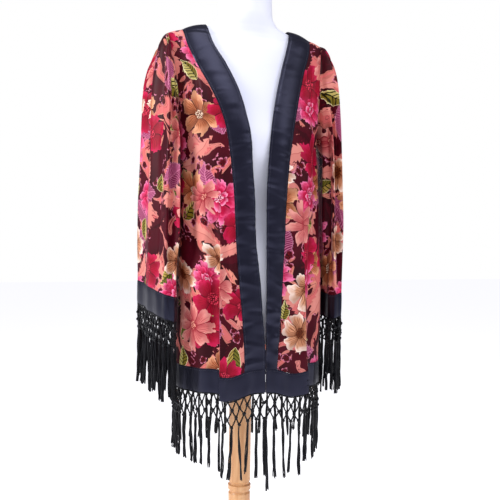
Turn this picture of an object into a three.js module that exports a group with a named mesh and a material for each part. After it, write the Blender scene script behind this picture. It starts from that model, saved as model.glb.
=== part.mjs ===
// Kimono jacket with satin bands and a knotted fringe, on a limbless dress form and a wooden stand.
// Millimetres, +Z up. The front faces -Y and the wearer's left is +X. The origin is on the floor,
// under the middle of the stand.
import * as THREE from 'three';

// Cloth
const CLOTH = 1.5;          // wall of the printed cloth
const BAND_CLOTH = 1.9;     // wall of the folded satin bands
const SEAM = 0.4;           // air between two sewn pieces
const HEM_SEAM_Z = 668;     // where the print ends and the hem band starts
const HEM_Z = 618;          // lower edge of the hem band
const NECK_X = 96;          // inner edge of the band on the shoulder line
const BAND_X = 148;         // outer edge of the band on the shoulder line
const ARM_X = 176;          // top of the armhole on the shoulder line
const UNDERARM_Z = 1182;
const BACK_NECK_IN = 1396;  // height of the band's inner edge at the middle of the back
const BACK_NECK_OUT = 1350; // height of the band's outer edge there

// Fringe
const TASSEL_SPACING = 23;
// The hem's fringe is longest beside the opening and shortest at the sides.
const FRINGE_LENGTH = { opening: 182, side: 142, back: 162 };
const CUFF_FRINGE_LENGTH = 172;
const END_SPREAD = 20;      // how much the tassels' ends differ in height
const FRINGE_WALL = 3.2;
const BRAID_HEIGHT = 4;     // the narrow braid that the fringe hangs from
const NET_ROW = 17;         // height of one row of the knotted net
const CORD_WIDTH = 2.8;
const TASSEL_WIDTH = 6;
const TASSEL_SWAY = 8;      // how far the ends hang from straight below the knots, side to side

// Stand
const FORM_BOTTOM = 715;
const POLE_RADIUS = 25;
const BASE_RADIUS = 165;
const BASE_HEIGHT = 28;
const SEAT_GAP = 0.3;

// The dress form, as level sections. round is the power of the section's outline.
const FORM = [
  { z: 715, right: 138, left: 138, front: 98, back: 100, round: 2.2 },
  { z: 770, right: 144, left: 144, front: 106, back: 112, round: 2.2 },
  { z: 830, right: 146, left: 146, front: 112, back: 118, round: 2.2 },
  { z: 920, right: 138, left: 138, front: 104, back: 108, round: 2.2 },
  { z: 965, right: 126, left: 126, front: 93, back: 94, round: 2.2 },
  { z: 1010, right: 118, left: 118, front: 86, back: 84, round: 2.2 },
  { z: 1080, right: 126, left: 126, front: 98, back: 86, round: 2.2 },
  { z: 1125, right: 134, left: 134, front: 112, back: 90, round: 2.2 },
  { z: 1165, right: 142, left: 142, front: 117, back: 95, round: 2.3 },
  { z: 1215, right: 150, left: 150, front: 106, back: 100, round: 2.3 },
  { z: 1290, right: 172, left: 172, front: 84, back: 100, round: 2.2 },
  { z: 1340, right: 186, left: 186, front: 66, back: 88, round: 2.1 },
  { z: 1362, right: 187, left: 187, front: 59, back: 79, round: 2 },
  { z: 1378, right: 181, left: 181, front: 53, back: 68, round: 1.9 },
  { z: 1386.6, right: 170.5, left: 170.5, front: 50, back: 58, round: 1.8 },
  { z: 1394.1, right: 147, left: 147, front: 50, back: 52, round: 1.8 },
  { z: 1409.1, right: 96.5, left: 96.5, front: 54, back: 46, round: 1.8 },
  { z: 1418, right: 76, left: 76, front: 58, back: 43, round: 1.9 },
  { z: 1438, right: 62, left: 62, front: 66, back: 37, round: 2 },
  { z: 1488, right: 58, left: 58, front: 72, back: 29, round: 2 },
  { z: 1494, right: 53, left: 53, front: 67, back: 24, round: 2 },
];

// The outside of the jacket's body, as level sections. It hangs straight from the bust and the
// shoulder blades, a little to the wearer's left.
const DRAPE = [
  { z: 560, right: 152, left: 178, front: 128, back: 124, round: 2.3 },
  { z: 830, right: 152, left: 178, front: 126, back: 124, round: 2.3 },
  { z: 1000, right: 152, left: 176, front: 124, back: 116, round: 2.3 },
  { z: 1080, right: 152, left: 172, front: 123, back: 109, round: 2.3 },
  { z: 1165, right: 153, left: 168, front: 121.5, back: 104, round: 2.3 },
  { z: 1215, right: 162, left: 172, front: 114, back: 106, round: 2.3 },
  { z: 1290, right: 181, left: 183, front: 92.5, back: 106, round: 2.2 },
  { z: 1340, right: 193, left: 193, front: 73, back: 94.5, round: 2.1 },
  { z: 1364, right: 193, left: 193, front: 65.5, back: 86, round: 2 },
  { z: 1381, right: 187.5, left: 187.5, front: 59.5, back: 75, round: 1.9 },
  { z: 1390, right: 174, left: 174, front: 56, back: 65, round: 1.8 },
  { z: 1397.5, right: 149.5, left: 149.5, front: 55.5, back: 58.5, round: 1.8 },
  { z: 1412.5, right: 98.5, left: 98.5, front: 59, back: 52.5, round: 1.8 },
  { z: 1421.5, right: 77.5, left: 77.5, front: 62, back: 49.5, round: 1.9 },
];

// Edges of the front bands and the places of the long pleats, across from the middle.
const RIGHT_FRONT = [
  { z: 618, edge: -18.5, seam: 25, pleat: 71 },
  { z: 703, edge: -17, seam: 27, pleat: 71 },
  { z: 784, edge: -12, seam: 32, pleat: 73 },
  { z: 864, edge: -6, seam: 40, pleat: 74 },
  { z: 940, edge: 3, seam: 46, pleat: 76 },
  { z: 1026, edge: 6, seam: 50, pleat: 80 },
  { z: 1091, edge: 11, seam: 56, pleat: 87 },
  { z: 1154, edge: 15, seam: 64, pleat: 97 },
  { z: 1203, edge: 24, seam: 75, pleat: 107 },
  { z: 1258, edge: 38, seam: 96, pleat: 125 },
  { z: 1318, edge: 62, seam: 124, pleat: 144 },
  { z: 1368, edge: 87, seam: 142, pleat: 155 },
  { z: 1412, edge: NECK_X, seam: BAND_X, pleat: 160 },
];
const LEFT_FRONT = [
  { z: 618, edge: 21.5, seam: 44, pleat: 112 },
  { z: 719, edge: 21.5, seam: 50, pleat: 106 },
  { z: 800, edge: 21.5, seam: 55, pleat: 104 },
  { z: 896, edge: 21, seam: 60, pleat: 103 },
  { z: 1028, edge: 20, seam: 66, pleat: 103 },
  { z: 1110, edge: 24, seam: 73, pleat: 107 },
  { z: 1171, edge: 29, seam: 82, pleat: 114 },
  { z: 1237, edge: 41, seam: 97, pleat: 124 },
  { z: 1303, edge: 60, seam: 117, pleat: 141 },
  { z: 1360, edge: 80, seam: 138, pleat: 153 },
  { z: 1412, edge: NECK_X, seam: BAND_X, pleat: 160 },
];

// The armhole's distance from the middle at each height.
const ARMHOLE = [
  { z: 1182, right: 153.5, left: 168.5 },
  { z: 1218, right: 155, left: 166 },
  { z: 1290, right: 162, left: 165 },
  { z: 1350, right: 171, left: 171 },
  { z: 1389, right: ARM_X, left: ARM_X },
];

// Heights of the body's rows at the side, and how far each row follows the slope of the shoulder.
const ROWS = [
  { z: 1389.2, slope: 1 },
  { z: 1387.6, slope: 1 },
  { z: 1382, slope: 0.97 },
  { z: 1370, slope: 0.92 },
  { z: 1351, slope: 0.83 },
  { z: 1323, slope: 0.7 },
  { z: 1290, slope: 0.54 },
  { z: 1255, slope: 0.36 },
  { z: 1218, slope: 0.18 },
  { z: UNDERARM_Z, slope: 0 },
  { z: 1140, slope: 0 },
  { z: 1092, slope: 0 },
  { z: 1040, slope: 0 },
  { z: 980, slope: 0 },
  { z: 915, slope: 0 },
  { z: 850, slope: 0 },
  { z: 785, slope: 0 },
  { z: 725, slope: 0 },
  { z: HEM_SEAM_Z, slope: 0 },
];
const UNDERARM_ROW = 9;
const SHOULDER_SLOPE = 0.29;
const BACK_NECK_POWER = 2.4;  // how squarely the back of the neckline curves
const LINEAR_TOP = 1330;      // above this the columns are evenly spread across

// Soft folds of the body: across from the middle, where each starts, its depth and half width.
const BODY_FOLDS = [
  { face: 'front', x: -108, top: 1150, deep: 6, wide: 13 },
  { face: 'front', x: -132, top: 1060, deep: -5, wide: 10 },
  { face: 'front', x: 76, top: 1000, deep: -4, wide: 12 },
  { face: 'front', x: 142, top: 1120, deep: 6, wide: 13 },
  { face: 'back', x: -118, top: 1180, deep: 7, wide: 15 },
  { face: 'back', x: -66, top: 1230, deep: -7, wide: 16 },
  { face: 'back', x: -8, top: 1120, deep: 7, wide: 20 },
  { face: 'back', x: 62, top: 1240, deep: -8, wide: 18 },
  { face: 'back', x: 128, top: 1160, deep: 8, wide: 17 },
];
const PLEATS = { right: { top: 985, deep: 13, lean: 3 }, left: { top: 1075, deep: 12, lean: 3 } };
// How far the cloth of the pleats hangs below its neighbours, and where.
const PLEAT_DROP = { deep: 12, wide: 30, top: 1000, places: [-55, 82] };

// The sleeves as rings, from near the armhole to the cuff's seam. out and in are the outer and the
// inner side across from the middle, with their heights. deep is half the flat width, front to back.
const SLEEVES = {
  right: [
    { out: 184, outZ: 1382.5, in: 159, inZ: 1166, deep: 64, mid: 3 },
    { out: 194, outZ: 1364, in: 163, inZ: 1148, deep: 71, mid: 4 },
    { out: 201, outZ: 1333, in: 165, inZ: 1122, deep: 78, mid: 6 },
    { out: 205, outZ: 1283, in: 166, inZ: 1090, deep: 84, mid: 8 },
    { out: 207, outZ: 1220, in: 166, inZ: 1052, deep: 88, mid: 10 },
    { out: 208, outZ: 1150, in: 166, inZ: 1010, deep: 91, mid: 11 },
    { out: 210, outZ: 1078, in: 166, inZ: 966, deep: 93, mid: 12 },
    { out: 212, outZ: 1005, in: 167, inZ: 926, deep: 95, mid: 13 },
    { out: 214, outZ: 935, in: 168, inZ: 888, deep: 96, mid: 14 },
    { out: 215, outZ: 838, in: 170, inZ: 826, deep: 97, mid: 15 },
  ],
  left: [
    { out: 188, outZ: 1384, in: 173, inZ: 1166, deep: 64, mid: 3 },
    { out: 200, outZ: 1366, in: 180, inZ: 1148, deep: 71, mid: 4 },
    { out: 208, outZ: 1333, in: 185, inZ: 1122, deep: 78, mid: 6 },
    { out: 214, outZ: 1283, in: 187, inZ: 1090, deep: 84, mid: 8 },
    { out: 218, outZ: 1220, in: 188, inZ: 1052, deep: 88, mid: 10 },
    { out: 221, outZ: 1150, in: 188, inZ: 1010, deep: 91, mid: 11 },
    { out: 224, outZ: 1078, in: 188, inZ: 966, deep: 93, mid: 12 },
    { out: 227, outZ: 1005, in: 189, inZ: 926, deep: 95, mid: 13 },
    { out: 229, outZ: 935, in: 189, inZ: 888, deep: 96, mid: 14 },
    { out: 231, outZ: 838, in: 190, inZ: 826, deep: 97, mid: 15 },
  ],
};
const SLEEVE_SQUARE = 0.82;  // under 1 the sleeve's section has fuller edges
const TOE = { right: 0.2, left: 0.1 };  // how far the sleeve's back edge swings out
const CUFF_TILT = 0.13;      // the front of the cuff hangs lower than the back
const CUFF_DEPTH = 52;
// Long folds of the sleeves: turn around the ring in degrees, depth, half width in degrees.
const SLEEVE_FOLDS = [
  { turn: 48, deep: 5, wide: 15 },
  { turn: 78, deep: -5, wide: 13 },
  { turn: 300, deep: -6, wide: 16 },
  { turn: 335, deep: 4, wide: 14 },
];

// Colours of the pieces
const PRINT = { color: 0xb0404e, roughness: 0.72, metalness: 0 };
const SATIN = { color: 0x24263a, roughness: 0.42, metalness: 0 };
const SILK = { color: 0x14151f, roughness: 0.5, metalness: 0 };
const JERSEY = { color: 0xe9eaf6, roughness: 0.8, metalness: 0 };
const WOOD = { color: 0xc99563, roughness: 0.5, metalness: 0 };

// Small maths

const mix = (a, b, share) => a + (b - a) * share;
const clamp01 = (value) => Math.min(1, Math.max(0, value));
const bell = (offset, width) => Math.exp(-(offset * offset) / (width * width));

function smooth(from, to, value) {
  const share = clamp01((value - from) / (to - from));
  return share * share * (3 - 2 * share);
}

// A column of a table at a height. The table's rows go upwards.
function atHeight(table, z, column) {
  const above = table.findIndex((row) => row.z >= z);
  if (above === 0) return table[0][column];
  if (above < 0) return table[table.length - 1][column];
  const low = table[above - 1];
  const high = table[above];
  return mix(low[column], high[column], (z - low.z) / (high.z - low.z));
}

// Body sections

function sectionDepth(table, x, z, face) {
  const half = atHeight(table, z, x < 0 ? 'right' : 'left');
  const round = atHeight(table, z, 'round');
  const share = Math.min(1, Math.abs(x) / half);
  return atHeight(table, z, face) * Math.pow(1 - Math.pow(share, round), 1 / round);
}

// Height of the shoulder line at a distance from the middle.
function shoulderZ(x) {
  const far = Math.abs(x);
  for (let i = DRAPE.length - 1; i > 0; i -= 1) {
    const high = DRAPE[i];
    const low = DRAPE[i - 1];
    if (far <= low.left) {
      return mix(high.z, low.z, clamp01((far - high.left) / (low.left - high.left)));
    }
  }
  return DRAPE[0].z;
}

// Top edge of the back panel: the shoulder line, then the seam of the neck band.
function backTopZ(x) {
  const far = Math.abs(x) / BAND_X;
  if (far >= 1) return shoulderZ(x);
  return mix(BACK_NECK_OUT, shoulderZ(BAND_X), Math.pow(far, BACK_NECK_POWER));
}

function rowZ(row, x, topZ) {
  const shoulder = ROWS[0].z;
  return row.z + (topZ(x) - shoulder) * row.slope;
}

const sideOf = (sign) => (sign < 0 ? 'right' : 'left');
const frontTable = (sign) => (sign < 0 ? RIGHT_FRONT : LEFT_FRONT);

const STEEPEST = 2.5;       // slope of the section past which a fold turns no further

// How far the soft folds push the cloth out at a place.
function bodyFold(face, x, z) {
  let push = 0;
  for (const fold of BODY_FOLDS) {
    if (fold.face !== face) continue;
    push += fold.deep * bell(x - fold.x, fold.wide) * smooth(fold.top, HEM_SEAM_Z, z);
  }
  return push;
}

// The pleat beside each front band stands forward and ends in a sharp fold.
function pleatPush(sign, x, z, softness) {
  const pleat = PLEATS[sideOf(sign)];
  const seam = atHeight(frontTable(sign), z, 'seam');
  const fold = atHeight(frontTable(sign), z, 'pleat');
  const grown = Math.sqrt(smooth(pleat.top, HEM_SEAM_Z, z)) * pleat.deep;
  const across = sign * x;
  if (across <= fold) return grown * smooth(seam - 8, fold, across);
  return grown * (1 - smooth(fold, fold + pleat.lean * softness, across));
}

// The cloth of a pleat also hangs lower towards the hem.
function pleatDrop(x, z) {
  const grown = smooth(PLEAT_DROP.top, HEM_SEAM_Z, z) * PLEAT_DROP.deep;
  return PLEAT_DROP.places.reduce((sum, at) => sum + grown * bell(x - at, PLEAT_DROP.wide), 0);
}

// A point of the body's outside at a place across and a height. A fold pushes it straight out
// in the middle and turns sideways where the section runs round to the side.
function bodyPoint(face, x, z, softness = 1) {
  const out = sectionDepth(DRAPE, x, z, face);
  const reach = 0.5;
  const rise = sectionDepth(DRAPE, x + reach, z, face) - sectionDepth(DRAPE, x - reach, z, face);
  const lean = 1 / Math.hypot(1, Math.min(STEEPEST, Math.abs(rise)));
  let push = bodyFold(face, x, z);
  if (face === 'front') push += pleatPush(x < 0 ? -1 : 1, x, z, softness);
  const depth = out + push * lean;
  const sideways = push * (1 - lean) * Math.sign(x);
  const drop = face === 'front' ? pleatDrop(x, z) : 0;
  return new THREE.Vector3(x + sideways, face === 'front' ? -depth : depth, z - drop);
}

// Places across a front: the band, the pleat's strip, the fold, then the rest to the side.
const BAND_STEPS = [0, 0.5, 1];
const STRIP_STEPS = [0, 0.35, 0.7, 1];
const REST_STEPS = [0, 0.12, 0.28, 0.46, 0.64, 0.82, 1];

function sideX(sign, z) {
  if (z > UNDERARM_Z) return atHeight(ARMHOLE, z, sideOf(sign));
  return atHeight(DRAPE, z, sideOf(sign));
}

// The distance from the middle at a share of the way from one place to the side of the row.
function acrossTo(sign, from, z, share) {
  const side = sideX(sign, z);
  const straight = mix(from, side, share);
  const turnFrom = Math.asin(Math.min(1, from / side));
  const turned = side * Math.sin(mix(turnFrom, Math.PI / 2, share));
  return mix(turned, straight, smooth(UNDERARM_Z - 40, LINEAR_TOP, z));
}

// A point of a front: part is 'band', 'strip' or 'rest'.
function frontPoint(sign, row, part, share, nudge = 0) {
  let x = 0;
  let z = row.z;
  for (let pass = 0; pass < 12; pass += 1) {
    const level = part === 'rest' && share === 1 ? row.z : z;
    const edge = atHeight(frontTable(sign), level, 'edge');
    const seam = atHeight(frontTable(sign), level, 'seam');
    const fold = atHeight(frontTable(sign), level, 'pleat');
    const lean = PLEATS[sideOf(sign)].lean;
    if (part === 'band') x = mix(edge, seam, share);
    if (part === 'strip') x = mix(seam, fold, share);
    if (part === 'rest') x = acrossTo(sign, fold + lean, level, share);
    x += nudge;
    z = rowZ(row, x, shoulderZ);
  }
  if (row === ROWS[0]) return new THREE.Vector3(sign * x, 0, shoulderZ(x));
  return bodyPoint('front', sign * x, z);
}

// Places across the back's top edge, shared with the neck band.
const BACK_TOP_X = [0, 40, 76, 106, 128, 141, BAND_X, ARM_X];

function backPoint(sign, row, topX) {
  const share = topX / ARM_X;
  const z = rowZ(row, topX, backTopZ);
  if (row === ROWS[0]) {
    if (topX >= BAND_X) return new THREE.Vector3(sign * topX, 0, shoulderZ(topX));
    return bodyPoint('back', sign * topX, z);
  }
  const side = sideX(sign, topX === ARM_X ? row.z : z);
  const turned = side * Math.sin(share * Math.PI / 2);
  const x = mix(turned, share * side, smooth(UNDERARM_Z - 40, LINEAR_TOP + 40, row.z));
  return bodyPoint('back', sign * x, z);
}

// Solids

// A closed mesh from points and triangles, turned to face outwards.
function closedGeometry(points, triangles) {
  const position = new Float32Array(points.length * 3);
  points.forEach((point, i) => point.toArray(position, i * 3));
  let volume = 0;
  for (const [a, b, c] of triangles) {
    const cross = new THREE.Vector3().crossVectors(points[b], points[c]);
    volume += points[a].dot(cross);
  }
  const faces = volume < 0 ? triangles.map(([a, b, c]) => [a, c, b]) : triangles;
  const geometry = new THREE.BufferGeometry();
  geometry.setAttribute('position', new THREE.BufferAttribute(position, 3));
  geometry.setIndex(faces.flat());
  geometry.computeVertexNormals();
  return geometry;
}

// The outward normals of a grid of points. inside gives a point on the hollow side of a row.
function gridNormals(grid, wrap, inside) {
  const last = grid[0].length - 1;
  return grid.map((row, r) => row.map((point, c) => {
    const up = grid[Math.max(0, r - 1)][c];
    const down = grid[Math.min(grid.length - 1, r + 1)][c];
    const before = wrap ? row[(c + last) % (last + 1)] : row[Math.max(0, c - 1)];
    const after = wrap ? row[(c + 1) % (last + 1)] : row[Math.min(last, c + 1)];
    const along = new THREE.Vector3().subVectors(down, up);
    const across = new THREE.Vector3().subVectors(after, before);
    const normal = new THREE.Vector3().crossVectors(along, across).normalize();
    const outward = new THREE.Vector3().subVectors(point, inside(point, r));
    return normal.dot(outward) < 0 ? normal.negate() : normal;
  }));
}

// A wall of cloth: a grid of outer points, the same grid moved in, and its rims.
function wallGeometry(grid, thick, { wrap = false, inside, seamNormal }) {
  const normals = gridNormals(grid, wrap, inside);
  const rows = grid.length;
  const columns = grid[0].length;
  const points = grid.flat().map((point) => point.clone());
  grid.forEach((row, r) => row.forEach((point, c) => {
    const normal = (seamNormal && seamNormal(r, c, point)) || normals[r][c];
    points.push(point.clone().addScaledVector(normal, -thick));
  }));
  const outer = (r, c) => r * columns + (c % columns);
  const inner = (r, c) => rows * columns + outer(r, c);
  const triangles = [];
  const quad = (a, b, c, d) => triangles.push([a, b, c], [a, c, d]);
  const spans = wrap ? columns : columns - 1;
  for (let r = 0; r < rows - 1; r += 1) {
    for (let c = 0; c < spans; c += 1) {
      quad(outer(r, c), outer(r + 1, c), outer(r + 1, c + 1), outer(r, c + 1));
      quad(inner(r, c + 1), inner(r + 1, c + 1), inner(r + 1, c), inner(r, c));
    }
    if (wrap) continue;
    quad(outer(r, 0), inner(r, 0), inner(r + 1, 0), outer(r + 1, 0));
    quad(outer(r + 1, spans), inner(r + 1, spans), inner(r, spans), outer(r, spans));
  }
  for (let c = 0; c < spans; c += 1) {
    quad(outer(0, c + 1), inner(0, c + 1), inner(0, c), outer(0, c));
    quad(outer(rows - 1, c), inner(rows - 1, c), inner(rows - 1, c + 1), outer(rows - 1, c + 1));
  }
  return closedGeometry(points, triangles);
}

// A solid through closed rings, capped at both ends.
function loftGeometry(rings) {
  const count = rings[0].length;
  const points = rings.flat();
  const triangles = [];
  for (let r = 0; r < rings.length - 1; r += 1) {
    for (let c = 0; c < count; c += 1) {
      const next = (c + 1) % count;
      const low = r * count;
      const high = low + count;
      triangles.push([low + c, low + next, high + next], [low + c, high + next, high + c]);
    }
  }
  for (const [start, flip] of [[0, true], [(rings.length - 1) * count, false]]) {
    const centre = rings[start / count].reduce((sum, p) => sum.add(p), new THREE.Vector3());
    points.push(centre.divideScalar(count));
    const tip = points.length - 1;
    for (let c = 0; c < count; c += 1) {
      const next = (c + 1) % count;
      triangles.push(flip ? [tip, start + next, start + c] : [tip, start + c, start + next]);
    }
  }
  return closedGeometry(points, triangles);
}

const group = new THREE.Group();

function addPiece(name, geometry, finish) {
  const mesh = new THREE.Mesh(geometry, new THREE.MeshStandardMaterial(finish));
  mesh.name = name;
  group.add(mesh);
  return mesh;
}

// Body panels

const CHEST_Z = 1230;
const ARMHOLE_HEART = { x: 130, z: 1285 };
const BACK_NECK_LEAN = 0.5;   // how far the neck band leans back from the neck at the middle back

const bodyInside = (point) => new THREE.Vector3(0, 0, Math.min(point.z, CHEST_Z));

// Both sides of an armhole seam and the sleeve share these directions, so their walls stay apart.
function armholeNormal(sign, point) {
  const heart = new THREE.Vector3(sign * ARMHOLE_HEART.x, 0, ARMHOLE_HEART.z);
  return new THREE.Vector3().subVectors(point, heart).normalize();
}

const shoulderNormal = (sign) => new THREE.Vector3(sign * SHOULDER_SLOPE, 0, 1).normalize();

function bodySeamNormal(sign, row, atSide, point) {
  if (atSide && row <= UNDERARM_ROW) return armholeNormal(sign, point);
  if (atSide) return new THREE.Vector3(sign, 0, 0);
  if (row === 0) return shoulderNormal(sign);
  return null;
}

function shiftAtSeams(point, row, atSide, towards) {
  const half = SEAM / 2;
  if (row === 0 || atSide) point.y += towards * half;
  return point;
}

function frontPanel(sign) {
  const places = [];
  STRIP_STEPS.forEach((share) => places.push({ part: 'strip', share }));
  REST_STEPS.forEach((share) => places.push({ part: 'rest', share }));
  const grid = ROWS.map((row, r) => places.map(({ part, share }, c) => {
    const atSide = c === places.length - 1;
    const point = frontPoint(sign, row, part, share, c === 0 ? SEAM / 2 : 0);
    if (row.z === HEM_SEAM_Z) point.z += SEAM / 2;
    return shiftAtSeams(point, r, atSide && r >= UNDERARM_ROW, -1);
  }));
  return wallGeometry(grid, CLOTH, {
    inside: bodyInside,
    seamNormal: (r, c, point) => bodySeamNormal(sign, r, c === places.length - 1, point),
  });
}

function backPanel() {
  const places = [
    ...BACK_TOP_X.slice(1).reverse().map((topX) => ({ sign: -1, topX })),
    ...BACK_TOP_X.map((topX) => ({ sign: 1, topX })),
  ];
  const grid = ROWS.map((row, r) => places.map(({ sign, topX }) => {
    const point = backPoint(sign, row, topX);
    const onShoulder = topX >= BAND_X;
    if (row.z === HEM_SEAM_Z) point.z += SEAM / 2;
    if (r === 0 && !onShoulder) point.z -= SEAM * 1.5;
    const atSide = topX === ARM_X && r >= UNDERARM_ROW;
    return shiftAtSeams(point, onShoulder ? r : 1, atSide, 1);
  }));
  return wallGeometry(grid, CLOTH, {
    inside: bodyInside,
    seamNormal: (r, c, point) => {
      const { sign, topX } = places[c];
      if (r === 0 && topX < BAND_X) return null;
      return bodySeamNormal(sign, r, topX === ARM_X, point);
    },
  });
}

// Bands

// From the foot of the front up to the shoulder line, then round the neck to the middle back.
function frontBand(sign) {
  const grid = [...ROWS].reverse().map((row) => BAND_STEPS.map((share) => {
    const point = frontPoint(sign, row, 'band', share, share === 1 ? -SEAM / 2 : 0);
    if (row.z === HEM_SEAM_Z) point.z += SEAM / 2;
    return point;
  }));
  const shoulderRow = grid.length - 1;
  for (const outX of [...BACK_TOP_X].reverse().slice(2)) {
    const share = outX / BAND_X;
    const inX = NECK_X * share;
    const inZ = mix(BACK_NECK_IN, shoulderZ(NECK_X), Math.pow(share, 3));
    grid.push(BAND_STEPS.map((step) => {
      const x = Math.max(mix(inX, outX, step), SEAM / 2);
      const z = mix(inZ, backTopZ(outX), step);
      return bodyPoint('back', sign * x, z);
    }));
  }
  return wallGeometry(grid, BAND_CLOTH, {
    inside: bodyInside,
    seamNormal: (r, c, point) => {
      if (r === shoulderRow) return shoulderNormal(sign);
      if (r === grid.length - 1) return new THREE.Vector3(0, 1, BACK_NECK_LEAN).normalize();
      return null;
    },
  });
}

const HEM_ROWS = [
  { z: HEM_SEAM_Z - SEAM, slope: 0 },
  { z: (HEM_SEAM_Z + HEM_Z) / 2, slope: 0 },
  { z: HEM_Z, slope: 0 },
];

const HEM_PLACES = [
  ...BAND_STEPS.map((share) => ({ part: 'band', share })),
  ...STRIP_STEPS.slice(1).map((share) => ({ part: 'strip', share })),
  ...REST_STEPS.map((share) => ({ part: 'rest', share })),
];

function hemBandFront(sign) {
  const side = HEM_PLACES.length - 1;
  const grid = HEM_ROWS.map((row) => HEM_PLACES.map(({ part, share }, c) => {
    const point = frontPoint(sign, row, part, share);
    return shiftAtSeams(point, 1, c === side, -1);
  }));
  return wallGeometry(grid, BAND_CLOTH, {
    inside: bodyInside,
    seamNormal: (r, c) => (c === side ? new THREE.Vector3(sign, 0, 0) : null),
  });
}

function hemBandBack() {
  const places = [
    ...BACK_TOP_X.slice(1).reverse().map((topX) => ({ sign: -1, topX })),
    ...BACK_TOP_X.map((topX) => ({ sign: 1, topX })),
  ];
  const grid = HEM_ROWS.map((row) => places.map(({ sign, topX }) => (
    shiftAtSeams(backPoint(sign, row, topX), 1, topX === ARM_X, 1)
  )));
  return wallGeometry(grid, BAND_CLOTH, {
    inside: bodyInside,
    seamNormal: (r, c) => {
      const { sign, topX } = places[c];
      return topX === ARM_X ? new THREE.Vector3(sign, 0, 0) : null;
    },
  });
}

// Sleeves

const RING_POINTS = 2 * UNDERARM_ROW;

function sleeveFold(turn, grown) {
  let push = 0;
  for (const fold of SLEEVE_FOLDS) {
    const off = ((turn - fold.turn + 540) % 360) - 180;
    push += fold.deep * bell(off, fold.wide);
  }
  return push * grown;
}

// A point of a sleeve's ring. turn 0 is the outer side, 90 the front edge, 180 the inner side.
function sleevePoint(sign, ring, turn, grown) {
  const angle = THREE.MathUtils.degToRad(turn);
  const power = (value) => Math.sign(value) * Math.pow(Math.abs(value), SLEEVE_SQUARE);
  const outward = power(Math.cos(angle));
  const forward = power(Math.sin(angle));
  const deep = ring.deep + sleeveFold(turn, grown) * Math.abs(forward);
  const y = ring.mid - deep * forward;
  const middle = (ring.out + ring.in) / 2;
  const half = (ring.out - ring.in) / 2 + sleeveFold(turn, grown) * Math.abs(outward) * 0.6;
  const across = middle + half * outward + TOE[sideOf(sign)] * grown * (y - ring.mid);
  const rise = (ring.outZ + ring.inZ) / 2 + ((ring.outZ - ring.inZ) / 2) * outward;
  return new THREE.Vector3(sign * across, y, rise + CUFF_TILT * grown * (y - ring.mid));
}

const ringTurns = Array.from({ length: RING_POINTS }, (_, i) => (i * 360) / RING_POINTS);

function armholeRing(sign) {
  const front = ROWS.slice(0, UNDERARM_ROW + 1).map((row) => frontPoint(sign, row, 'rest', 1));
  const back = ROWS.slice(1, UNDERARM_ROW).reverse().map((row) => backPoint(sign, row, ARM_X));
  return [...front, ...back].map((point) => {
    point.x += sign * SEAM * 1.5;
    return point;
  });
}

function sleeveRings(sign) {
  const table = SLEEVES[sideOf(sign)];
  return table.map((ring, i) => {
    const grown = smooth(0, 4, i + 1);
    return ringTurns.map((turn) => sleevePoint(sign, ring, turn, grown));
  });
}

function cuffRings(sign, levels) {
  const table = SLEEVES[sideOf(sign)];
  const seam = table[table.length - 1];
  return levels.map((down) => {
    const ring = { ...seam, outZ: seam.outZ - down, inZ: seam.inZ - down };
    return ringTurns.map((turn) => sleevePoint(sign, ring, turn, 1));
  });
}

function ringCentre(ring) {
  const sum = ring.reduce((total, point) => total.add(point), new THREE.Vector3());
  return sum.divideScalar(ring.length);
}

function sleeve(sign) {
  const rings = [armholeRing(sign), ...sleeveRings(sign)];
  return wallGeometry(rings, CLOTH, {
    wrap: true,
    inside: (point, r) => ringCentre(rings[r]),
    seamNormal: (r, c, point) => (r === 0 ? armholeNormal(sign, point) : null),
  });
}

function cuff(sign) {
  const rings = cuffRings(sign, [SEAM * 1.5, CUFF_DEPTH / 2, CUFF_DEPTH]);
  return wallGeometry(rings, BAND_CLOTH, {
    wrap: true,
    inside: (point, r) => ringCentre(rings[r]),
  });
}

// Fringe

// A flat pattern of cells with shared corners, drawn along an edge and given a thickness.
class Pattern {
  constructor() {
    this.corners = [];
    this.lookup = new Map();
    this.cells = [];
  }

  corner(along, down) {
    const key = `${along.toFixed(3)},${down.toFixed(3)}`;
    if (!this.lookup.has(key)) {
      this.lookup.set(key, this.corners.length);
      this.corners.push({ along, down });
    }
    return this.lookup.get(key);
  }

  cell(...corners) {
    this.cells.push(corners.map(([along, down]) => this.corner(along, down)));
  }

  geometry(place) {
    const count = this.corners.length;
    const points = [];
    for (const layer of [0, 1]) {
      this.corners.forEach(({ along, down }) => points.push(place(along, down, layer)));
    }
    const triangles = [];
    const open = new Map();
    for (const cell of this.cells) {
      for (let i = 1; i < cell.length - 1; i += 1) {
        triangles.push([cell[0], cell[i], cell[i + 1]]);
        triangles.push([count + cell[0], count + cell[i + 1], count + cell[i]]);
      }
      cell.forEach((from, i) => {
        const to = cell[(i + 1) % cell.length];
        const twin = `${to},${from}`;
        if (open.has(twin)) open.delete(twin);
        else open.set(`${from},${to}`, [from, to]);
      });
    }
    for (const [from, to] of open.values()) {
      triangles.push([to, from, count + from], [to, count + from, count + to]);
    }
    return closedGeometry(points, triangles);
  }
}

// An uneven share from 0 to 1 that is the same each time.
function uneven(seed) {
  const value = Math.sin(seed * 12.9898) * 43758.5453;
  return value - Math.floor(value);
}

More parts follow.
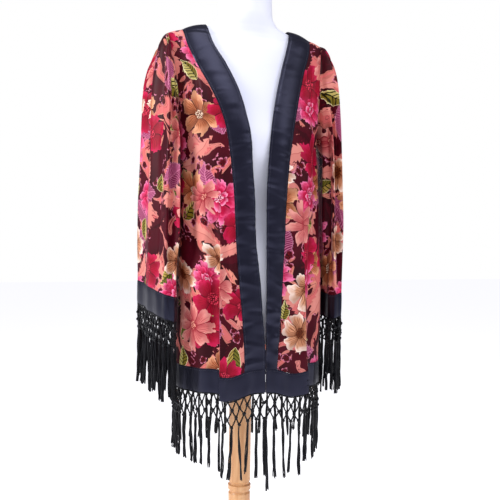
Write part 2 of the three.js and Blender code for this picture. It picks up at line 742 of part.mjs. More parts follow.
// Braid, knotted net and tassels over a length of edge. dropAt gives the whole length of the
// fringe at a share of that edge.
function fringePattern(length, dropAt, seed) {
  const pattern = new Pattern();
  const count = Math.round(length / TASSEL_SPACING);
  const step = length / count;
  const half = CORD_WIDTH / 2;
  const knotDown = (row) => BRAID_HEIGHT + NET_ROW * row;
  const at = (i) => (i + 0.5) * step;
  const marks = [0];
  for (let i = 0; i < count; i += 1) marks.push(at(i) - CORD_WIDTH, at(i), at(i) + CORD_WIDTH);
  marks.push(length);
  for (let m = 0; m < marks.length - 1; m += 1) {
    pattern.cell([marks[m], 0], [marks[m], BRAID_HEIGHT], [marks[m + 1], BRAID_HEIGHT], [marks[m + 1], 0]);
  }
  const knot = (along, down) => ({
    top: [along, down - CORD_WIDTH],
    left: [along - CORD_WIDTH, down],
    bottom: [along, down + CORD_WIDTH],
    right: [along + CORD_WIDTH, down],
  });
  const fallRight = (from, to) => pattern.cell(from.right, from.bottom, to.left, to.top);
  const fallLeft = (from, to) => pattern.cell(from.left, to.top, to.right, from.bottom);
  const first = [];
  const second = [];
  const third = [];
  for (let i = 0; i < count; i += 1) {
    const root = { left: [at(i) - CORD_WIDTH, BRAID_HEIGHT], bottom: [at(i), BRAID_HEIGHT] };
    root.right = [at(i) + CORD_WIDTH, BRAID_HEIGHT];
    first.push(root);
    second.push(knot(at(i), knotDown(2)));
  }
  for (let i = 1; i < count; i += 1) {
    const upper = knot(i * step, knotDown(1));
    pattern.cell(upper.top, upper.left, upper.bottom, upper.right);
    fallRight(first[i - 1], upper);
    fallLeft(first[i], upper);
    fallLeft(upper, second[i - 1]);
    fallRight(upper, second[i]);
    third.push(i * step);
  }
  const start = second[0];
  const end = second[count - 1];
  pattern.cell(first[0].bottom, first[0].left, start.left, start.top);
  pattern.cell(first[count - 1].right, first[count - 1].bottom, end.top, end.right);
  second.forEach((middle) => pattern.cell(middle.top, middle.left, middle.bottom, middle.right));
  third.forEach((along, i) => {
    const lower = knot(along, knotDown(3));
    const foot = [[along - half, knotDown(3) + CORD_WIDTH], [along + half, knotDown(3) + CORD_WIDTH]];
    pattern.cell(lower.top, lower.left, foot[0], foot[1], lower.right);
    fallRight(second[i], lower);
    fallLeft(second[i + 1], lower);
    tassel(pattern, foot, along, dropAt(along / length), seed + i);
  });
  tassel(pattern, [start.left, start.bottom], start.left[0] - half, dropAt(0), seed - 1);
  tassel(pattern, [end.bottom, end.right], end.right[0] + half, dropAt(1), seed + count);
  return pattern;
}

function tassel(pattern, foot, along, drop, seed) {
  const end = drop + (uneven(seed) - 0.5) * END_SPREAD;
  const sway = (uneven(seed + 7.3) - 0.5) * TASSEL_SWAY;
  const middle = mix(foot[0][1], end, 0.35);
  const half = TASSEL_WIDTH / 2;
  const waist = [[along + sway * 0.3 - half, middle], [along + sway * 0.3 + half, middle]];
  const tip = [[along + sway - half * 0.7, end], [along + sway + half * 0.7, end]];
  pattern.cell(foot[0], waist[0], waist[1], foot[1]);
  pattern.cell(waist[0], tip[0], tip[1], waist[1]);
}

// A path of points with its lengths, for laying a pattern along.
function edgePath(points) {
  const lengths = [0];
  for (let i = 1; i < points.length; i += 1) {
    const flat = Math.hypot(points[i].x - points[i - 1].x, points[i].y - points[i - 1].y);
    lengths.push(lengths[i - 1] + flat);
  }
  return { points, lengths, length: lengths[lengths.length - 1] };
}

function pathPlace(path, outwards) {
  const reach = TASSEL_SPACING / 2;
  const find = (along) => {
    const place = Math.min(path.length, Math.max(0, along));
    let i = path.lengths.findIndex((value) => value >= place);
    i = Math.max(1, i);
    const share = (place - path.lengths[i - 1]) / (path.lengths[i] - path.lengths[i - 1]);
    const point = new THREE.Vector3().lerpVectors(path.points[i - 1], path.points[i], share);
    const over = along - place;
    if (over === 0) return point;
    const heading = new THREE.Vector3().subVectors(path.points[i], path.points[i - 1]).setZ(0);
    return point.addScaledVector(heading.normalize(), over);
  };
  return (along, down, layer) => {
    const point = find(along);
    const heading = new THREE.Vector3().subVectors(find(along + reach), find(along - reach));
    const normal = new THREE.Vector3(heading.y, -heading.x, 0).normalize();
    if (normal.dot(outwards(point)) < 0) normal.negate();
    point.addScaledVector(normal, -FRINGE_WALL * layer);
    point.z -= down;
    return point;
  };
}

function fringeOn(name, points, outwards, dropAt, seed) {
  const path = edgePath(points);
  const pattern = fringePattern(path.length, dropAt, seed);
  addPiece(name, pattern.geometry(pathPlace(path, outwards)), SILK);
}

const PATH_POINTS = 28;
const FRINGE_SOFTNESS = 9;   // the braid rounds off the pleat's sharp fold

const RIM_REACH = 8;

// The lowest height of the front hem's rim near a place across.
function hemRimZ(sign, across) {
  const low = HEM_ROWS[HEM_ROWS.length - 1];
  const rim = HEM_PLACES.map(({ part, share }) => {
    const point = frontPoint(sign, low, part, share);
    return { z: sign * point.x, height: point.z };
  });
  const nearby = [across - RIM_REACH, across, across + RIM_REACH];
  return Math.min(...nearby.map((place) => atHeight(rim, place, 'height')));
}

function hemFringeFront(name, sign, seed) {
  const edge = atHeight(frontTable(sign), HEM_Z, 'edge');
  const side = sideX(sign, HEM_Z);
  const from = Math.asin(edge / side);
  const points = [];
  for (let i = 0; i <= PATH_POINTS; i += 1) {
    const turn = mix(from, Math.PI / 2, i / PATH_POINTS);
    const x = sign * side * Math.sin(turn);
    const point = bodyPoint('front', x, HEM_Z, FRINGE_SOFTNESS);
    if (i === PATH_POINTS) point.y -= SEAM / 2;
    point.z = hemRimZ(sign, sign * point.x) - SEAM * 2;
    points.push(point);
  }
  const dropAt = (share) => mix(FRINGE_LENGTH.opening, FRINGE_LENGTH.side, share);
  fringeOn(name, points, (point) => new THREE.Vector3(point.x, point.y, 0), dropAt, seed);
}

function hemFringeBack(name, seed) {
  const points = [];
  for (let i = 0; i <= 2 * PATH_POINTS; i += 1) {
    const turn = (i / PATH_POINTS - 1) * (Math.PI / 2);
    const x = sideX(Math.sign(turn), HEM_Z) * Math.sin(turn);
    const point = bodyPoint('back', x, HEM_Z);
    if (i === 0 || i === 2 * PATH_POINTS) point.y += SEAM / 2;
    point.z -= SEAM;
    points.push(point);
  }
  const dropAt = (share) => mix(FRINGE_LENGTH.side, FRINGE_LENGTH.back, Math.sin(share * Math.PI));
  fringeOn(name, points, (point) => new THREE.Vector3(point.x, point.y, 0), dropAt, seed);
}

// A cuff's fringe is in two nodes, round the outer side and the inner side.
function cuffFringe(name, sign, fromTurn, toTurn, seed) {
  const table = SLEEVES[sideOf(sign)];
  const seam = table[table.length - 1];
  const ring = { ...seam, outZ: seam.outZ - CUFF_DEPTH, inZ: seam.inZ - CUFF_DEPTH };
  const points = [];
  for (let i = 0; i <= PATH_POINTS; i += 1) {
    const turn = (mix(fromTurn, toTurn, i / PATH_POINTS) + 360) % 360;
    const point = sleevePoint(sign, ring, turn, 1);
    point.z -= SEAM + 0.6;
    points.push(point);
  }
  const middle = ringCentre(ringTurns.map((turn) => sleevePoint(sign, ring, turn, 1)));
  const outwards = (point) => new THREE.Vector3().subVectors(point, middle).setZ(0);
  fringeOn(name, points, outwards, () => CUFF_FRINGE_LENGTH, seed);
}

// Dress form and stand

const FORM_SIDES = 36;

function dressForm() {
  const rings = FORM.map((row) => {
    const power = 2 / row.round;
    return Array.from({ length: FORM_SIDES }, (_, i) => {
      const angle = (i / FORM_SIDES) * Math.PI * 2;
      const across = Math.sign(Math.cos(angle)) * Math.pow(Math.abs(Math.cos(angle)), power);
      const forward = Math.sign(Math.sin(angle)) * Math.pow(Math.abs(Math.sin(angle)), power);
      const depth = forward < 0 ? row.front : row.back;
      return new THREE.Vector3(across * row.left, forward * depth, row.z);
    });
  });
  return loftGeometry(rings);
}

// The turned pole: radius and height, with two grooves and a swelling below the form.
const POLE_PROFILE = [
  { radius: 21, z: BASE_HEIGHT + SEAT_GAP },
  { radius: 30, z: BASE_HEIGHT + SEAT_GAP },
  { radius: 31, z: BASE_HEIGHT + 14 },
  { radius: POLE_RADIUS, z: BASE_HEIGHT + 26 },
  { radius: POLE_RADIUS, z: 364 },
  { radius: POLE_RADIUS - 3, z: 367 },
  { radius: POLE_RADIUS + 1, z: 370 },
  { radius: POLE_RADIUS + 1, z: 382 },
  { radius: POLE_RADIUS - 3, z: 385 },
  { radius: POLE_RADIUS, z: 388 },
  { radius: POLE_RADIUS, z: 690 },
  { radius: 34, z: 702 },
  { radius: 34, z: FORM_BOTTOM - SEAT_GAP },
];

const BASE_PROFILE = [
  { radius: BASE_RADIUS - 4, z: 0 },
  { radius: BASE_RADIUS, z: 4 },
  { radius: BASE_RADIUS, z: 13 },
  { radius: BASE_RADIUS - 7, z: 19 },
  { radius: BASE_RADIUS - 45, z: 23 },
  { radius: 46, z: BASE_HEIGHT },
];

function turned(profile, sides) {
  const points = profile.map(({ radius, z }) => new THREE.Vector2(radius, z));
  points.unshift(new THREE.Vector2(0, points[0].y));
  points.push(new THREE.Vector2(0, points[points.length - 1].y));
  const geometry = new THREE.LatheGeometry(points, sides);
  geometry.rotateX(Math.PI / 2);
  return geometry;
}

// The whole object

addPiece('stand_base', turned(BASE_PROFILE, 48), WOOD);
addPiece('stand_pole', turned(POLE_PROFILE, 24), WOOD);
addPiece('dress_form', dressForm(), JERSEY);
addPiece('back', backPanel(), PRINT);
addPiece('front_right', frontPanel(-1), PRINT);
addPiece('front_left', frontPanel(1), PRINT);
addPiece('sleeve_right', sleeve(-1), PRINT);
addPiece('sleeve_left', sleeve(1), PRINT);
addPiece('front_band_right', frontBand(-1), SATIN);
addPiece('front_band_left', frontBand(1), SATIN);
addPiece('cuff_right', cuff(-1), SATIN);
addPiece('cuff_left', cuff(1), SATIN);
addPiece('hem_band_back', hemBandBack(), SATIN);
addPiece('hem_band_right', hemBandFront(-1), SATIN);
addPiece('hem_band_left', hemBandFront(1), SATIN);
hemFringeBack('hem_fringe_back', 11);
hemFringeFront('hem_fringe_right', -1, 41);
hemFringeFront('hem_fringe_left', 1, 71);
cuffFringe('cuff_fringe_right_outer', -1, -83, 83, 101);
cuffFringe('cuff_fringe_right_inner', -1, 97, 263, 131);
cuffFringe('cuff_fringe_left_outer', 1, -83, 83, 161);
cuffFringe('cuff_fringe_left_inner', 1, 97, 263, 191);

export default group;
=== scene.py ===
import math

import bpy
import numpy as np
from bpy.props import FloatProperty, FloatVectorProperty, IntProperty, PointerProperty
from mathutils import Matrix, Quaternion, Vector


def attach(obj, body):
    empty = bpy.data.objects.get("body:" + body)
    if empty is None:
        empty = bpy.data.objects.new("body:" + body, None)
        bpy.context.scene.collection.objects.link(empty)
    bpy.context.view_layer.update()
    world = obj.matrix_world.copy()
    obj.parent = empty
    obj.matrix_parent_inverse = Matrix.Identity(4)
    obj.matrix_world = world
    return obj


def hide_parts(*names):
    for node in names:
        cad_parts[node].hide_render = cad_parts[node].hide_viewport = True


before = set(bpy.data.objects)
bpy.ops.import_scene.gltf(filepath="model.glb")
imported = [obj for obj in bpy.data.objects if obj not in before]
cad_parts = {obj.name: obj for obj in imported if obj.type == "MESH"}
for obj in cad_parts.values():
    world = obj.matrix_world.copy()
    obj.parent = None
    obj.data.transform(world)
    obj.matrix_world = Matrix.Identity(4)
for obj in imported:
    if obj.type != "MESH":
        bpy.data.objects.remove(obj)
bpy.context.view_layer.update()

bl_info = {
    "name": "Kimono jacket",
    "version": (1, 0, 0),
    "blender": (4, 5, 0),
    "location": "View3D > Sidebar > Kimono",
    "description": "Dresses a form in an open kimono jacket with satin bands and a knotted fringe",
    "category": "Object",
}

# Sizes below are in millimetres, in the frame of the part. This turns them to metres.
MM = 0.001


def table(names, rows):
    """A short table as named columns."""
    return dict(zip(names.split(), np.array(rows, float).T))


SIDES = ((-1, "right"), (1, "left"))     # the wearer's, by the sign of x

# The garment's cut
HEM_SEAM_Z = 668      # where the print ends and the hem band starts
HEM_Z = 618           # lower edge of the hem band
NECK_X = 96           # inner edge of the band on the shoulder line
BAND_X = 148          # outer edge of the band on the shoulder line
ARM_X = 176           # top of the armhole on the shoulder line
UNDERARM_Z = 1182
BACK_NECK_IN = 1396   # inner edge of the band at the middle of the back
BACK_NECK_OUT = 1350  # outer edge there
BACK_NECK_POWER = 2.4
SEAM = 0.3            # gap between two pieces that are sewn together
CUFF_DEPTH = 52
LEAST_GAP = 2         # from the form to the outside of the cloth
GAP_SOFTNESS = 3      # how softly a fold comes to rest on the form
HELD_BELOW = (1300, 1240)     # folds are held off the form from here down
BLEND_OVER = 40       # height over which curved columns turn into even ones

# Sections of the dress form from its lower end up: half width, half depths and the power of the
# oval, which is 2 for an ellipse and more where the section is squarer
FORM = table("z side front back round", [
    (715, 138, 98, 100, 2.2), (770, 144, 106, 112, 2.2), (830, 146, 112, 118, 2.2),
    (920, 138, 104, 108, 2.2), (965, 126, 93, 94, 2.2), (1010, 118, 86, 84, 2.2),
    (1080, 126, 98, 86, 2.2), (1125, 134, 112, 90, 2.2), (1165, 142, 117, 95, 2.3),
    (1215, 150, 106, 100, 2.3), (1290, 172, 84, 100, 2.2), (1340, 186, 66, 88, 2.1),
    (1362, 187, 59, 79, 2), (1378, 181, 53, 68, 1.9), (1386.6, 170.5, 50, 58, 1.8),
    (1394.1, 147, 50, 52, 1.8), (1409.1, 96.5, 54, 46, 1.8), (1418, 76, 58, 43, 1.9),
    (1438, 62, 66, 37, 2), (1488, 58, 72, 29, 2), (1494, 53, 67, 24, 2),
])

# Sections of the cloth's outside in the same way, the two sides apart
DRAPE = table("z right left front back round", [
    (560, 152, 178, 128, 124, 2.3), (830, 152, 178, 126, 124, 2.3),
    (1000, 152, 176, 124, 116, 2.3), (1080, 152, 172, 123, 109, 2.3),
    (1165, 153, 168, 121.5, 104, 2.3), (1215, 162, 172, 114, 106, 2.3),
    (1290, 181, 183, 92.5, 106, 2.2), (1340, 193, 193, 73, 94.5, 2.1),
    (1364, 193, 193, 65.5, 86, 2), (1381, 187.5, 187.5, 59.5, 75, 1.9),
    (1390, 174, 174, 56, 65, 1.8), (1397.5, 149.5, 149.5, 55.5, 58.5, 1.8),
    (1412.5, 98.5, 98.5, 59, 52.5, 1.8), (1421.5, 77.5, 77.5, 62, 49.5, 1.9),
])

# Each front: the opening's edge, the seam of its band and the fold of its pleat
RIGHT_FRONT = table("z edge seam pleat", [
    (618, -20.3, 25, 71), (703, -19.3, 27, 71), (784, -13, 32, 73), (864, -6, 40, 74),
    (940, 3, 46, 76), (1026, 6, 50, 80), (1091, 11, 56, 87), (1154, 15, 64, 97),
    (1203, 24, 75, 107), (1258, 38, 96, 125), (1318, 62, 124, 144), (1368, 87, 142, 155),
    (1412, NECK_X, BAND_X, 160),
])
LEFT_FRONT = table("z edge seam pleat", [
    (618, 21.5, 44, 112), (719, 21.5, 50, 106), (800, 21.5, 55, 104), (896, 21, 60, 103),
    (1028, 20, 66, 103), (1110, 24, 73, 107), (1171, 29, 82, 114), (1237, 41, 97, 124),
    (1303, 60, 117, 141), (1360, 80, 138, 153), (1412, NECK_X, BAND_X, 160),
])
# Where the body panels end at the armhole
ARMHOLE = table("z right left", [
    (1182, 153.5, 168.5), (1218, 155, 166), (1290, 162, 165), (1350, 171, 171),
    (1389, ARM_X, ARM_X),
])
# Rows of a body panel, and how far each follows the slope of the shoulder
ROWS = table("z slope", [
    (1389.2, 1), (1387.6, 1), (1382, 0.97), (1370, 0.92), (1351, 0.83), (1323, 0.7),
    (1290, 0.54), (1255, 0.36), (1218, 0.18), (UNDERARM_Z, 0), (1140, 0), (1092, 0),
    (1040, 0), (980, 0), (915, 0), (850, 0), (785, 0), (725, 0), (HEM_SEAM_Z, 0),
])
UNDERARM_ROW = 9
HEM_ROW = 18
LINEAR_TOP = 1330     # above this the columns are evenly spread across

# Wide folds of the body: place across, height where they start, depth, half width
BODY_FOLDS = {
    "front": [(-108, 1150, 6, 13), (-132, 1060, -5, 10), (76, 1000, -4, 12), (142, 1120, 6, 13)],
    "back": [(-118, 1180, 7, 15), (-66, 1230, -7, 16), (-8, 1120, 7, 20), (62, 1240, -8, 18),
             (128, 1160, 8, 17)],
}
# The long pleat beside each front band
PLEAT_TOP = {-1: 985, 1: 1075}
PLEAT_DEEP = {-1: 13, 1: 12}
PLEAT_LEAN = 3        # how far the cloth falls back from the fold, across
PLEAT_OVERHANG = 8    # how far the fold laps over the cloth beside it
PLEAT_STEP = 6        # how much lower the hem is on the fold than beside it
PLEAT_DROP_PLACES = (-55, 82)
PLEAT_DROP = 12       # how much lower the hem hangs at those places
PLEAT_DROP_WIDE = 30
PLEAT_HIDDEN = 0.045  # width of the cloth folded away, in metres

# Rings of each sleeve from the armhole to the cuff: the outer and inner side with their
# heights, half the depth and the middle's place from front to back
RINGS = "out out_z into into_z deep mid"
SLEEVE = {
    -1: table(RINGS, [
        (184, 1382.5, 159, 1166, 64, 3), (194, 1364, 163, 1148, 71, 4),
        (201, 1333, 165, 1122, 78, 6), (205, 1283, 166, 1090, 84, 8),
        (207, 1220, 166, 1052, 88, 10), (208, 1150, 166, 1010, 91, 11),
        (210, 1078, 166, 966, 93, 12), (212, 1005, 167, 926, 95, 13),
        (214, 935, 168, 888, 96, 14), (215, 838, 170, 826, 97, 15),
    ]),
    1: table(RINGS, [
        (188, 1384, 173, 1166, 64, 3), (200, 1366, 180, 1148, 71, 4),
        (208, 1333, 185, 1122, 78, 6), (214, 1283, 187, 1090, 84, 8),
        (218, 1220, 188, 1052, 88, 10), (221, 1150, 188, 1010, 91, 11),
        (224, 1078, 188, 966, 93, 12), (227, 1005, 189, 926, 95, 13),
        (229, 935, 189, 888, 96, 14), (231, 838, 190, 826, 97, 15),
    ]),
}
SLEEVE_SQUARE = 0.82        # under 1 the ring is squarer than an ellipse
TOE = {-1: 0.2, 1: 0.1}     # how far the cuff is turned inwards
CUFF_TILT = 0.13            # how much higher the cuff's back is
# Long folds of the sleeves: turn round the ring in degrees, depth, half width in degrees
SLEEVE_FOLDS = [(48, 5, 15), (78, -5, 13), (300, -6, 16), (335, 4, 14)]

# Creases of the body: from (x, z) to (x, z), half width, depth. Under 0 is a trough.
CREASE_DEPTH = 2.7    # every depth is multiplied by this
CREASES = {
    "front": [
        (-137, 1345, -122, 1235, 7, -2.6), (-150, 1330, -136, 1190, 8, 3.0),
        (-118, 1300, -108, 1180, 6, 2.0), (-140, 1180, -128, 880, 10, -4.5),
        (-112, 1120, -104, 720, 12, 3.5), (-92, 1060, -88, 700, 8, -2.6),
        (-127, 900, -121, 690, 9, 3.5), (-66, 1010, -60, 760, 7, -1.8),
        (148, 1345, 132, 1200, 8, -3.0), (134, 1310, 120, 1170, 7, 2.4),
        (152, 1190, 146, 930, 10, -4.5), (118, 1150, 112, 720, 9, 2.6),
        (134, 1020, 130, 700, 9, -3.6), (84, 1130, 80, 760, 8, 1.8),
        (160, 930, 158, 690, 9, 3.0), (100, 900, 96, 690, 7, -1.6),
    ],
    "back": [
        (-150, 1340, -118, 1150, 10, -3.4), (-120, 1330, -96, 1080, 11, 3.2),
        (-88, 1250, -84, 820, 12, -3.8), (-140, 1110, -134, 720, 10, -4.2),
        (-40, 1180, -34, 760, 12, 3.4), (-104, 980, -100, 690, 9, 3.0),
        (-14, 1290, -4, 900, 12, -2.6), (30, 1120, 26, 700, 10, -3.4),
        (54, 1310, 84, 1010, 12, 3.2), (96, 1240, 92, 780, 11, -3.8),
        (122, 1330, 146, 1120, 10, -3.4), (148, 1120, 150, 720, 10, 3.6),
        (114, 960, 110, 690, 8, -2.6), (70, 900, 72, 690, 8, 2.2),
    ],
}
# Creases of a sleeve: turn and place down (0 armhole, 1 cuff) at both ends, half width in
# degrees, depth
SLEEVE_CREASE_DEPTH = 2.2
SLEEVE_WAVE_DEPTH = 1.8
SLEEVE_CREASES = [
    (126, 0.10, 122, 0.96, 9, -6.5), (150, 0.1, 152, 0.9, 9, 3.5), (76, 0.3, 74, 0.98, 6, -3.2),
    (30, 0.02, 36, 0.55, 9, -4.0), (62, 0.04, 60, 0.95, 8, 4.5), (92, 0.10, 84, 0.98, 7, -5.0),
    (108, 0.20, 112, 0.9, 8, 3.5), (12, 0.3, 16, 0.97, 9, 3.2), (346, 0.05, 350, 0.7, 9, -3.0),
    (134, 0.3, 140, 0.98, 9, -3.6), (318, 0.2, 322, 0.95, 9, 3.4), (286, 0.08, 290, 0.9, 9, -4.0),
    (262, 0.2, 256, 0.97, 8, 4.0), (236, 0.35, 232, 0.95, 10, -3.2), (44, 0.62, 30, 0.98, 8, -2.4),
]


def smooth(low, high, value):
    """0 before low, 1 past high and an even, soft rise between them."""
    share = np.clip((value - low) / (high - low), 0, 1)
    return share * share * (3 - 2 * share)


def bell(offset, width):
    """1 in the middle, fading to nothing on both sides."""
    return np.exp(-(np.asarray(offset) / width) ** 2)


def mix(a, b, share):
    return a + (b - a) * share


def through(places, values, x):
    """A smooth curve through a table's values that never overshoots them."""
    step = np.diff(places)
    slope = np.diff(values, axis=0) / step.reshape(-1, *[1] * (np.ndim(values) - 1))
    bend = np.concatenate([slope[:1], slope[1:], slope[-1:]])
    before, after = slope[:-1], slope[1:]
    same = before * after > 0
    safe = np.where(same, before + after, 1)
    bend[1:-1] = np.where(same, 2 * before * after / safe, 0)
    x = np.clip(x, places[0], places[-1])
    i = np.clip(np.searchsorted(places, x, side="right") - 1, 0, len(places) - 2)
    gap = step[i]
    t = (x - places[i]) / gap
    if np.ndim(values) > 1:
        extra = [1] * (np.ndim(values) - 1)
        t, gap = t.reshape(-1, *extra), gap.reshape(-1, *extra)
    a, b = values[i], values[i + 1]
    ma, mb = bend[i] * gap, bend[i + 1] * gap
    return (a * (2 * t**3 - 3 * t**2 + 1) + ma * (t**3 - 2 * t**2 + t)
            + b * (3 * t**2 - 2 * t**3) + mb * (t**3 - t**2))


def at(columns, z, name):
    return through(columns["z"], columns[name], z)


SHOULDER_HEIGHTS = np.linspace(1364, 1421.5, 400)
SHOULDER_HALVES = at(DRAPE, SHOULDER_HEIGHTS, "left")


def shoulder_z(x):
    """Height of the shoulder line at a distance from the middle."""
    return np.interp(np.abs(x), SHOULDER_HALVES[::-1], SHOULDER_HEIGHTS[::-1])


def back_top_z(x):
    """Top edge of the back panel: the shoulder line, then the seam of the neck band."""
    far = np.minimum(np.abs(x) / BAND_X, 1)
    neck = mix(BACK_NECK_OUT, shoulder_z(BAND_X), far ** BACK_NECK_POWER)
    return np.where(np.abs(x) >= BAND_X, shoulder_z(x), neck)


def row_at(row, name):
    return through(np.arange(HEM_ROW + 1.0), ROWS[name], row)


def oval_depth(columns, x, z, half, face):
    """How far a section of the form or the cloth reaches to the front or the back."""
    power = at(columns, z, "round")
    share = np.minimum(1, np.abs(x) / half)
    return at(columns, z, face) * (1 - share**power) ** (1 / power)


def section_depth(x, z, face):
    """How far the smooth cloth, without its folds, reaches to the front or the back."""
    half = np.where(x < 0, at(DRAPE, z, "right"), at(DRAPE, z, "left"))
    return oval_depth(DRAPE, x, z, half, face)


def lain_on_form(depth, x, z, face):
    """Keeps the folds below the shoulders from sinking into the dress form."""
    rest = oval_depth(FORM, x, z, at(FORM, z, "side"), face) + LEAST_GAP
    gap = depth - rest
    held = rest + (gap + np.sqrt(gap**2 + GAP_SOFTNESS)) / 2
    return mix(depth, held, smooth(*HELD_BELOW, z))


def crease_push(creases, x, z):
    """How far a list of creases pushes a point out or in."""
    push = np.zeros(np.broadcast(x, z).shape)
    for x0, z0, x1, z1, wide, deep in creases:
        along = np.array([x1 - x0, z1 - z0], float)
        length = np.hypot(*along)
        along /= length
        t = ((x - x0) * along[0] + (z - z0) * along[1]) / length
        off = (x - x0) * along[1] - (z - z0) * along[0]
        fade = smooth(0, 0.25, t) * (1 - smooth(0.8, 1.0, t))
        push += deep * bell(off, wide) * fade
    return push


def ripples(x, z):
    """The fine upright waves of a light cloth that hangs free, stronger towards the hem."""
    drift = 0.9 * np.sin(z / 143 + 0.6) + 0.5 * np.sin(z / 61)
    fine = np.sin(x / 7.4 + drift) + 0.9 * np.sin(x / 11.3 + 1.9 - 1.4 * drift)
    return fine * (0.4 + 1.0 * smooth(1250, 760, z)) * (0.6 + 0.4 * np.sin(x / 27 + z / 190))


def front_table(sign):
    return RIGHT_FRONT if sign < 0 else LEFT_FRONT


def pleat_push(sign, x, z, softness):
    """The pleat beside each front band stands forward and ends in a sharp fold."""
    seam = at(front_table(sign), z, "seam")
    fold = at(front_table(sign), z, "pleat")
    grown = np.sqrt(smooth(PLEAT_TOP[sign], HEM_SEAM_Z, z)) * PLEAT_DEEP[sign]
    across = sign * x
    rising = grown * smooth(seam - 8, fold, across)
    falling = grown * (1 - smooth(fold, fold + PLEAT_LEAN * softness, across))
    return np.where(across <= fold, rising, falling)


def body_point(face, x, z, softness=1.0, creased=1.0):
    """A point of the jacket's outside. A fold pushes it straight out in the middle and turns
    sideways where the section runs round to the side."""
    x, z = np.broadcast_arrays(np.asarray(x, float), np.asarray(z, float))
    out = section_depth(x, z, face)
    rise = section_depth(x + 0.5, z, face) - section_depth(x - 0.5, z, face)
    lean = 1 / np.hypot(1, np.minimum(2.5, np.abs(rise)))
    push = (crease_push(CREASES[face], x, z) * CREASE_DEPTH + ripples(x, z)) * creased
    for at_x, top, deep, wide in BODY_FOLDS[face]:
        push = push + deep * bell(x - at_x, wide) * smooth(top, HEM_SEAM_Z, z)
    drop = 0
    if face == "front":
        push = push + np.where(x < 0, pleat_push(-1, x, z, softness), pleat_push(1, x, z, softness))
        grown = smooth(1000, HEM_SEAM_Z, z) * PLEAT_DROP
        drop = sum(grown * bell(x - place, PLEAT_DROP_WIDE) for place in PLEAT_DROP_PLACES)
        sign = np.where(x < 0, -1, 1)
        fold = np.where(x < 0, at(RIGHT_FRONT, z, "pleat"), at(LEFT_FRONT, z, "pleat"))
        past = np.abs(x) - fold
        step = bell(past, 34) * np.where(past > 0, -1, 0.6) * PLEAT_STEP
        drop = drop + np.where(sign * x > 0, step, 0) * smooth(1000, HEM_SEAM_Z, z)
    depth = lain_on_form(out + push * lean, x, z, face)
    forward = -1 if face == "front" else 1
    return np.stack([x + push * (1 - lean) * np.sign(x), forward * depth, z - drop], axis=-1)


def side_x(sign, z):
    """Where a body panel ends at the side."""
    name = "right" if sign < 0 else "left"
    return np.where(z > UNDERARM_Z, at(ARMHOLE, z, name), at(DRAPE, z, name))


def across_to(sign, start, z, share):
    """A place between start and the side, closer together where the section turns round."""
    side = side_x(sign, z)
    turn = np.arcsin(np.minimum(1, start / side))
    turned = side * np.sin(mix(turn, math.pi / 2, share))
    return mix(turned, mix(start, side, share), smooth(UNDERARM_Z - BLEND_OVER, LINEAR_TOP, z))


def front_point(sign, row, part, share, z_shift=0.0, nudge=0.0):
    """A point of a front. part is band, strip, fold or rest; share runs across that part."""
    row, share = np.broadcast_arrays(np.asarray(row, float), np.asarray(share, float))
    start, slope = row_at(row, "z") + z_shift, row_at(row, "slope")
    z = start
    # How far a row is lowered along the shoulder depends on x, which depends on the height
    for _ in range(12):
        edge, seam, pleat = (at(front_table(sign), z, name) for name in ("edge", "seam", "pleat"))
        x = {
            "band": lambda: mix(edge, seam, share),
            "strip": lambda: mix(seam, pleat, share),
            "fold": lambda: pleat + PLEAT_LEAN * share,
            "rest": lambda: across_to(sign, pleat + PLEAT_LEAN, z, share),
        }[part]() + nudge
        z = start + (shoulder_z(x) - ROWS["z"][0]) * slope
    point = body_point("front", sign * x, z)
    lap = np.sqrt(smooth(PLEAT_TOP[sign], HEM_SEAM_Z, z)) * PLEAT_OVERHANG * sign
    if part == "strip":
        point[..., 0] += lap * smooth(0.55, 1, share)
    if part == "fold":
        point[..., 0] += lap * (1 - smooth(0.15, 1, share))
    return point


def back_point(sign, row, top_x, z_shift=0.0):
    """A point of the back, on the column that ends at top_x on its upper edge."""
    row, top_x = np.broadcast_arrays(np.asarray(row, float), np.asarray(top_x, float))
    share = top_x / ARM_X
    base = row_at(row, "z")
    z = base + z_shift + (back_top_z(top_x) - ROWS["z"][0]) * row_at(row, "slope")
    side = side_x(sign, z)
    x = mix(side * np.sin(share * math.pi / 2), share * side,
            smooth(UNDERARM_Z - BLEND_OVER, LINEAR_TOP + BLEND_OVER, base))
    return body_point("back", sign * x, z)


def spread(counts):
    """Rising places made of evenly divided stretches: [(from, to, steps), ...]."""
    parts = [np.linspace(low, high, steps, endpoint=False) for low, high, steps in counts]
    return np.concatenate([*parts, [counts[-1][1]]])


# Rows of a body panel, closer together on the shoulder where the cloth turns over it
BODY_ROWS = np.concatenate([
    np.linspace(0, 1, 7)[:-1] ** 2, spread([(1, 4, 9), (4, 9, 30), (9, HEM_ROW, 108)])])
STRIP_SHARES = spread([(0, 0.7, 7), (0.7, 1, 7)])
FOLD_SHARES = np.array([0.25, 0.5, 0.75])
REST_SHARES = spread([(0, 0.12, 4), (0.12, 0.94, 26), (0.94, 1, 5)])


def grid_of(sign, rows, parts, z_shift=0.0):
    """Points of a front over several parts side by side."""
    columns = []
    for part, shares in parts:
        nudge = np.where((part == "strip") & (shares == 0), SEAM / 2, 0)
        columns.append(front_point(sign, rows[:, None], part, shares[None, :], z_shift, nudge))
    return np.concatenate(columns, axis=1)


# Meshes

def unit(vectors):
    return vectors / np.maximum(np.linalg.norm(vectors, axis=-1, keepdims=True), 1e-9)


def grid_normals(grid, wrap, heart):
    """Outward directions of a grid of points. heart gives a point inside for each row."""
    down = np.gradient(grid, axis=0)
    if wrap:
        across = (np.roll(grid, -1, 1) - np.roll(grid, 1, 1)) / 2
    else:
        across = np.gradient(grid, axis=1)
    normal = unit(np.cross(down, across))
    outward = np.sum(normal * (grid - heart), axis=-1, keepdims=True)
    return np.where(outward < 0, -normal, normal)


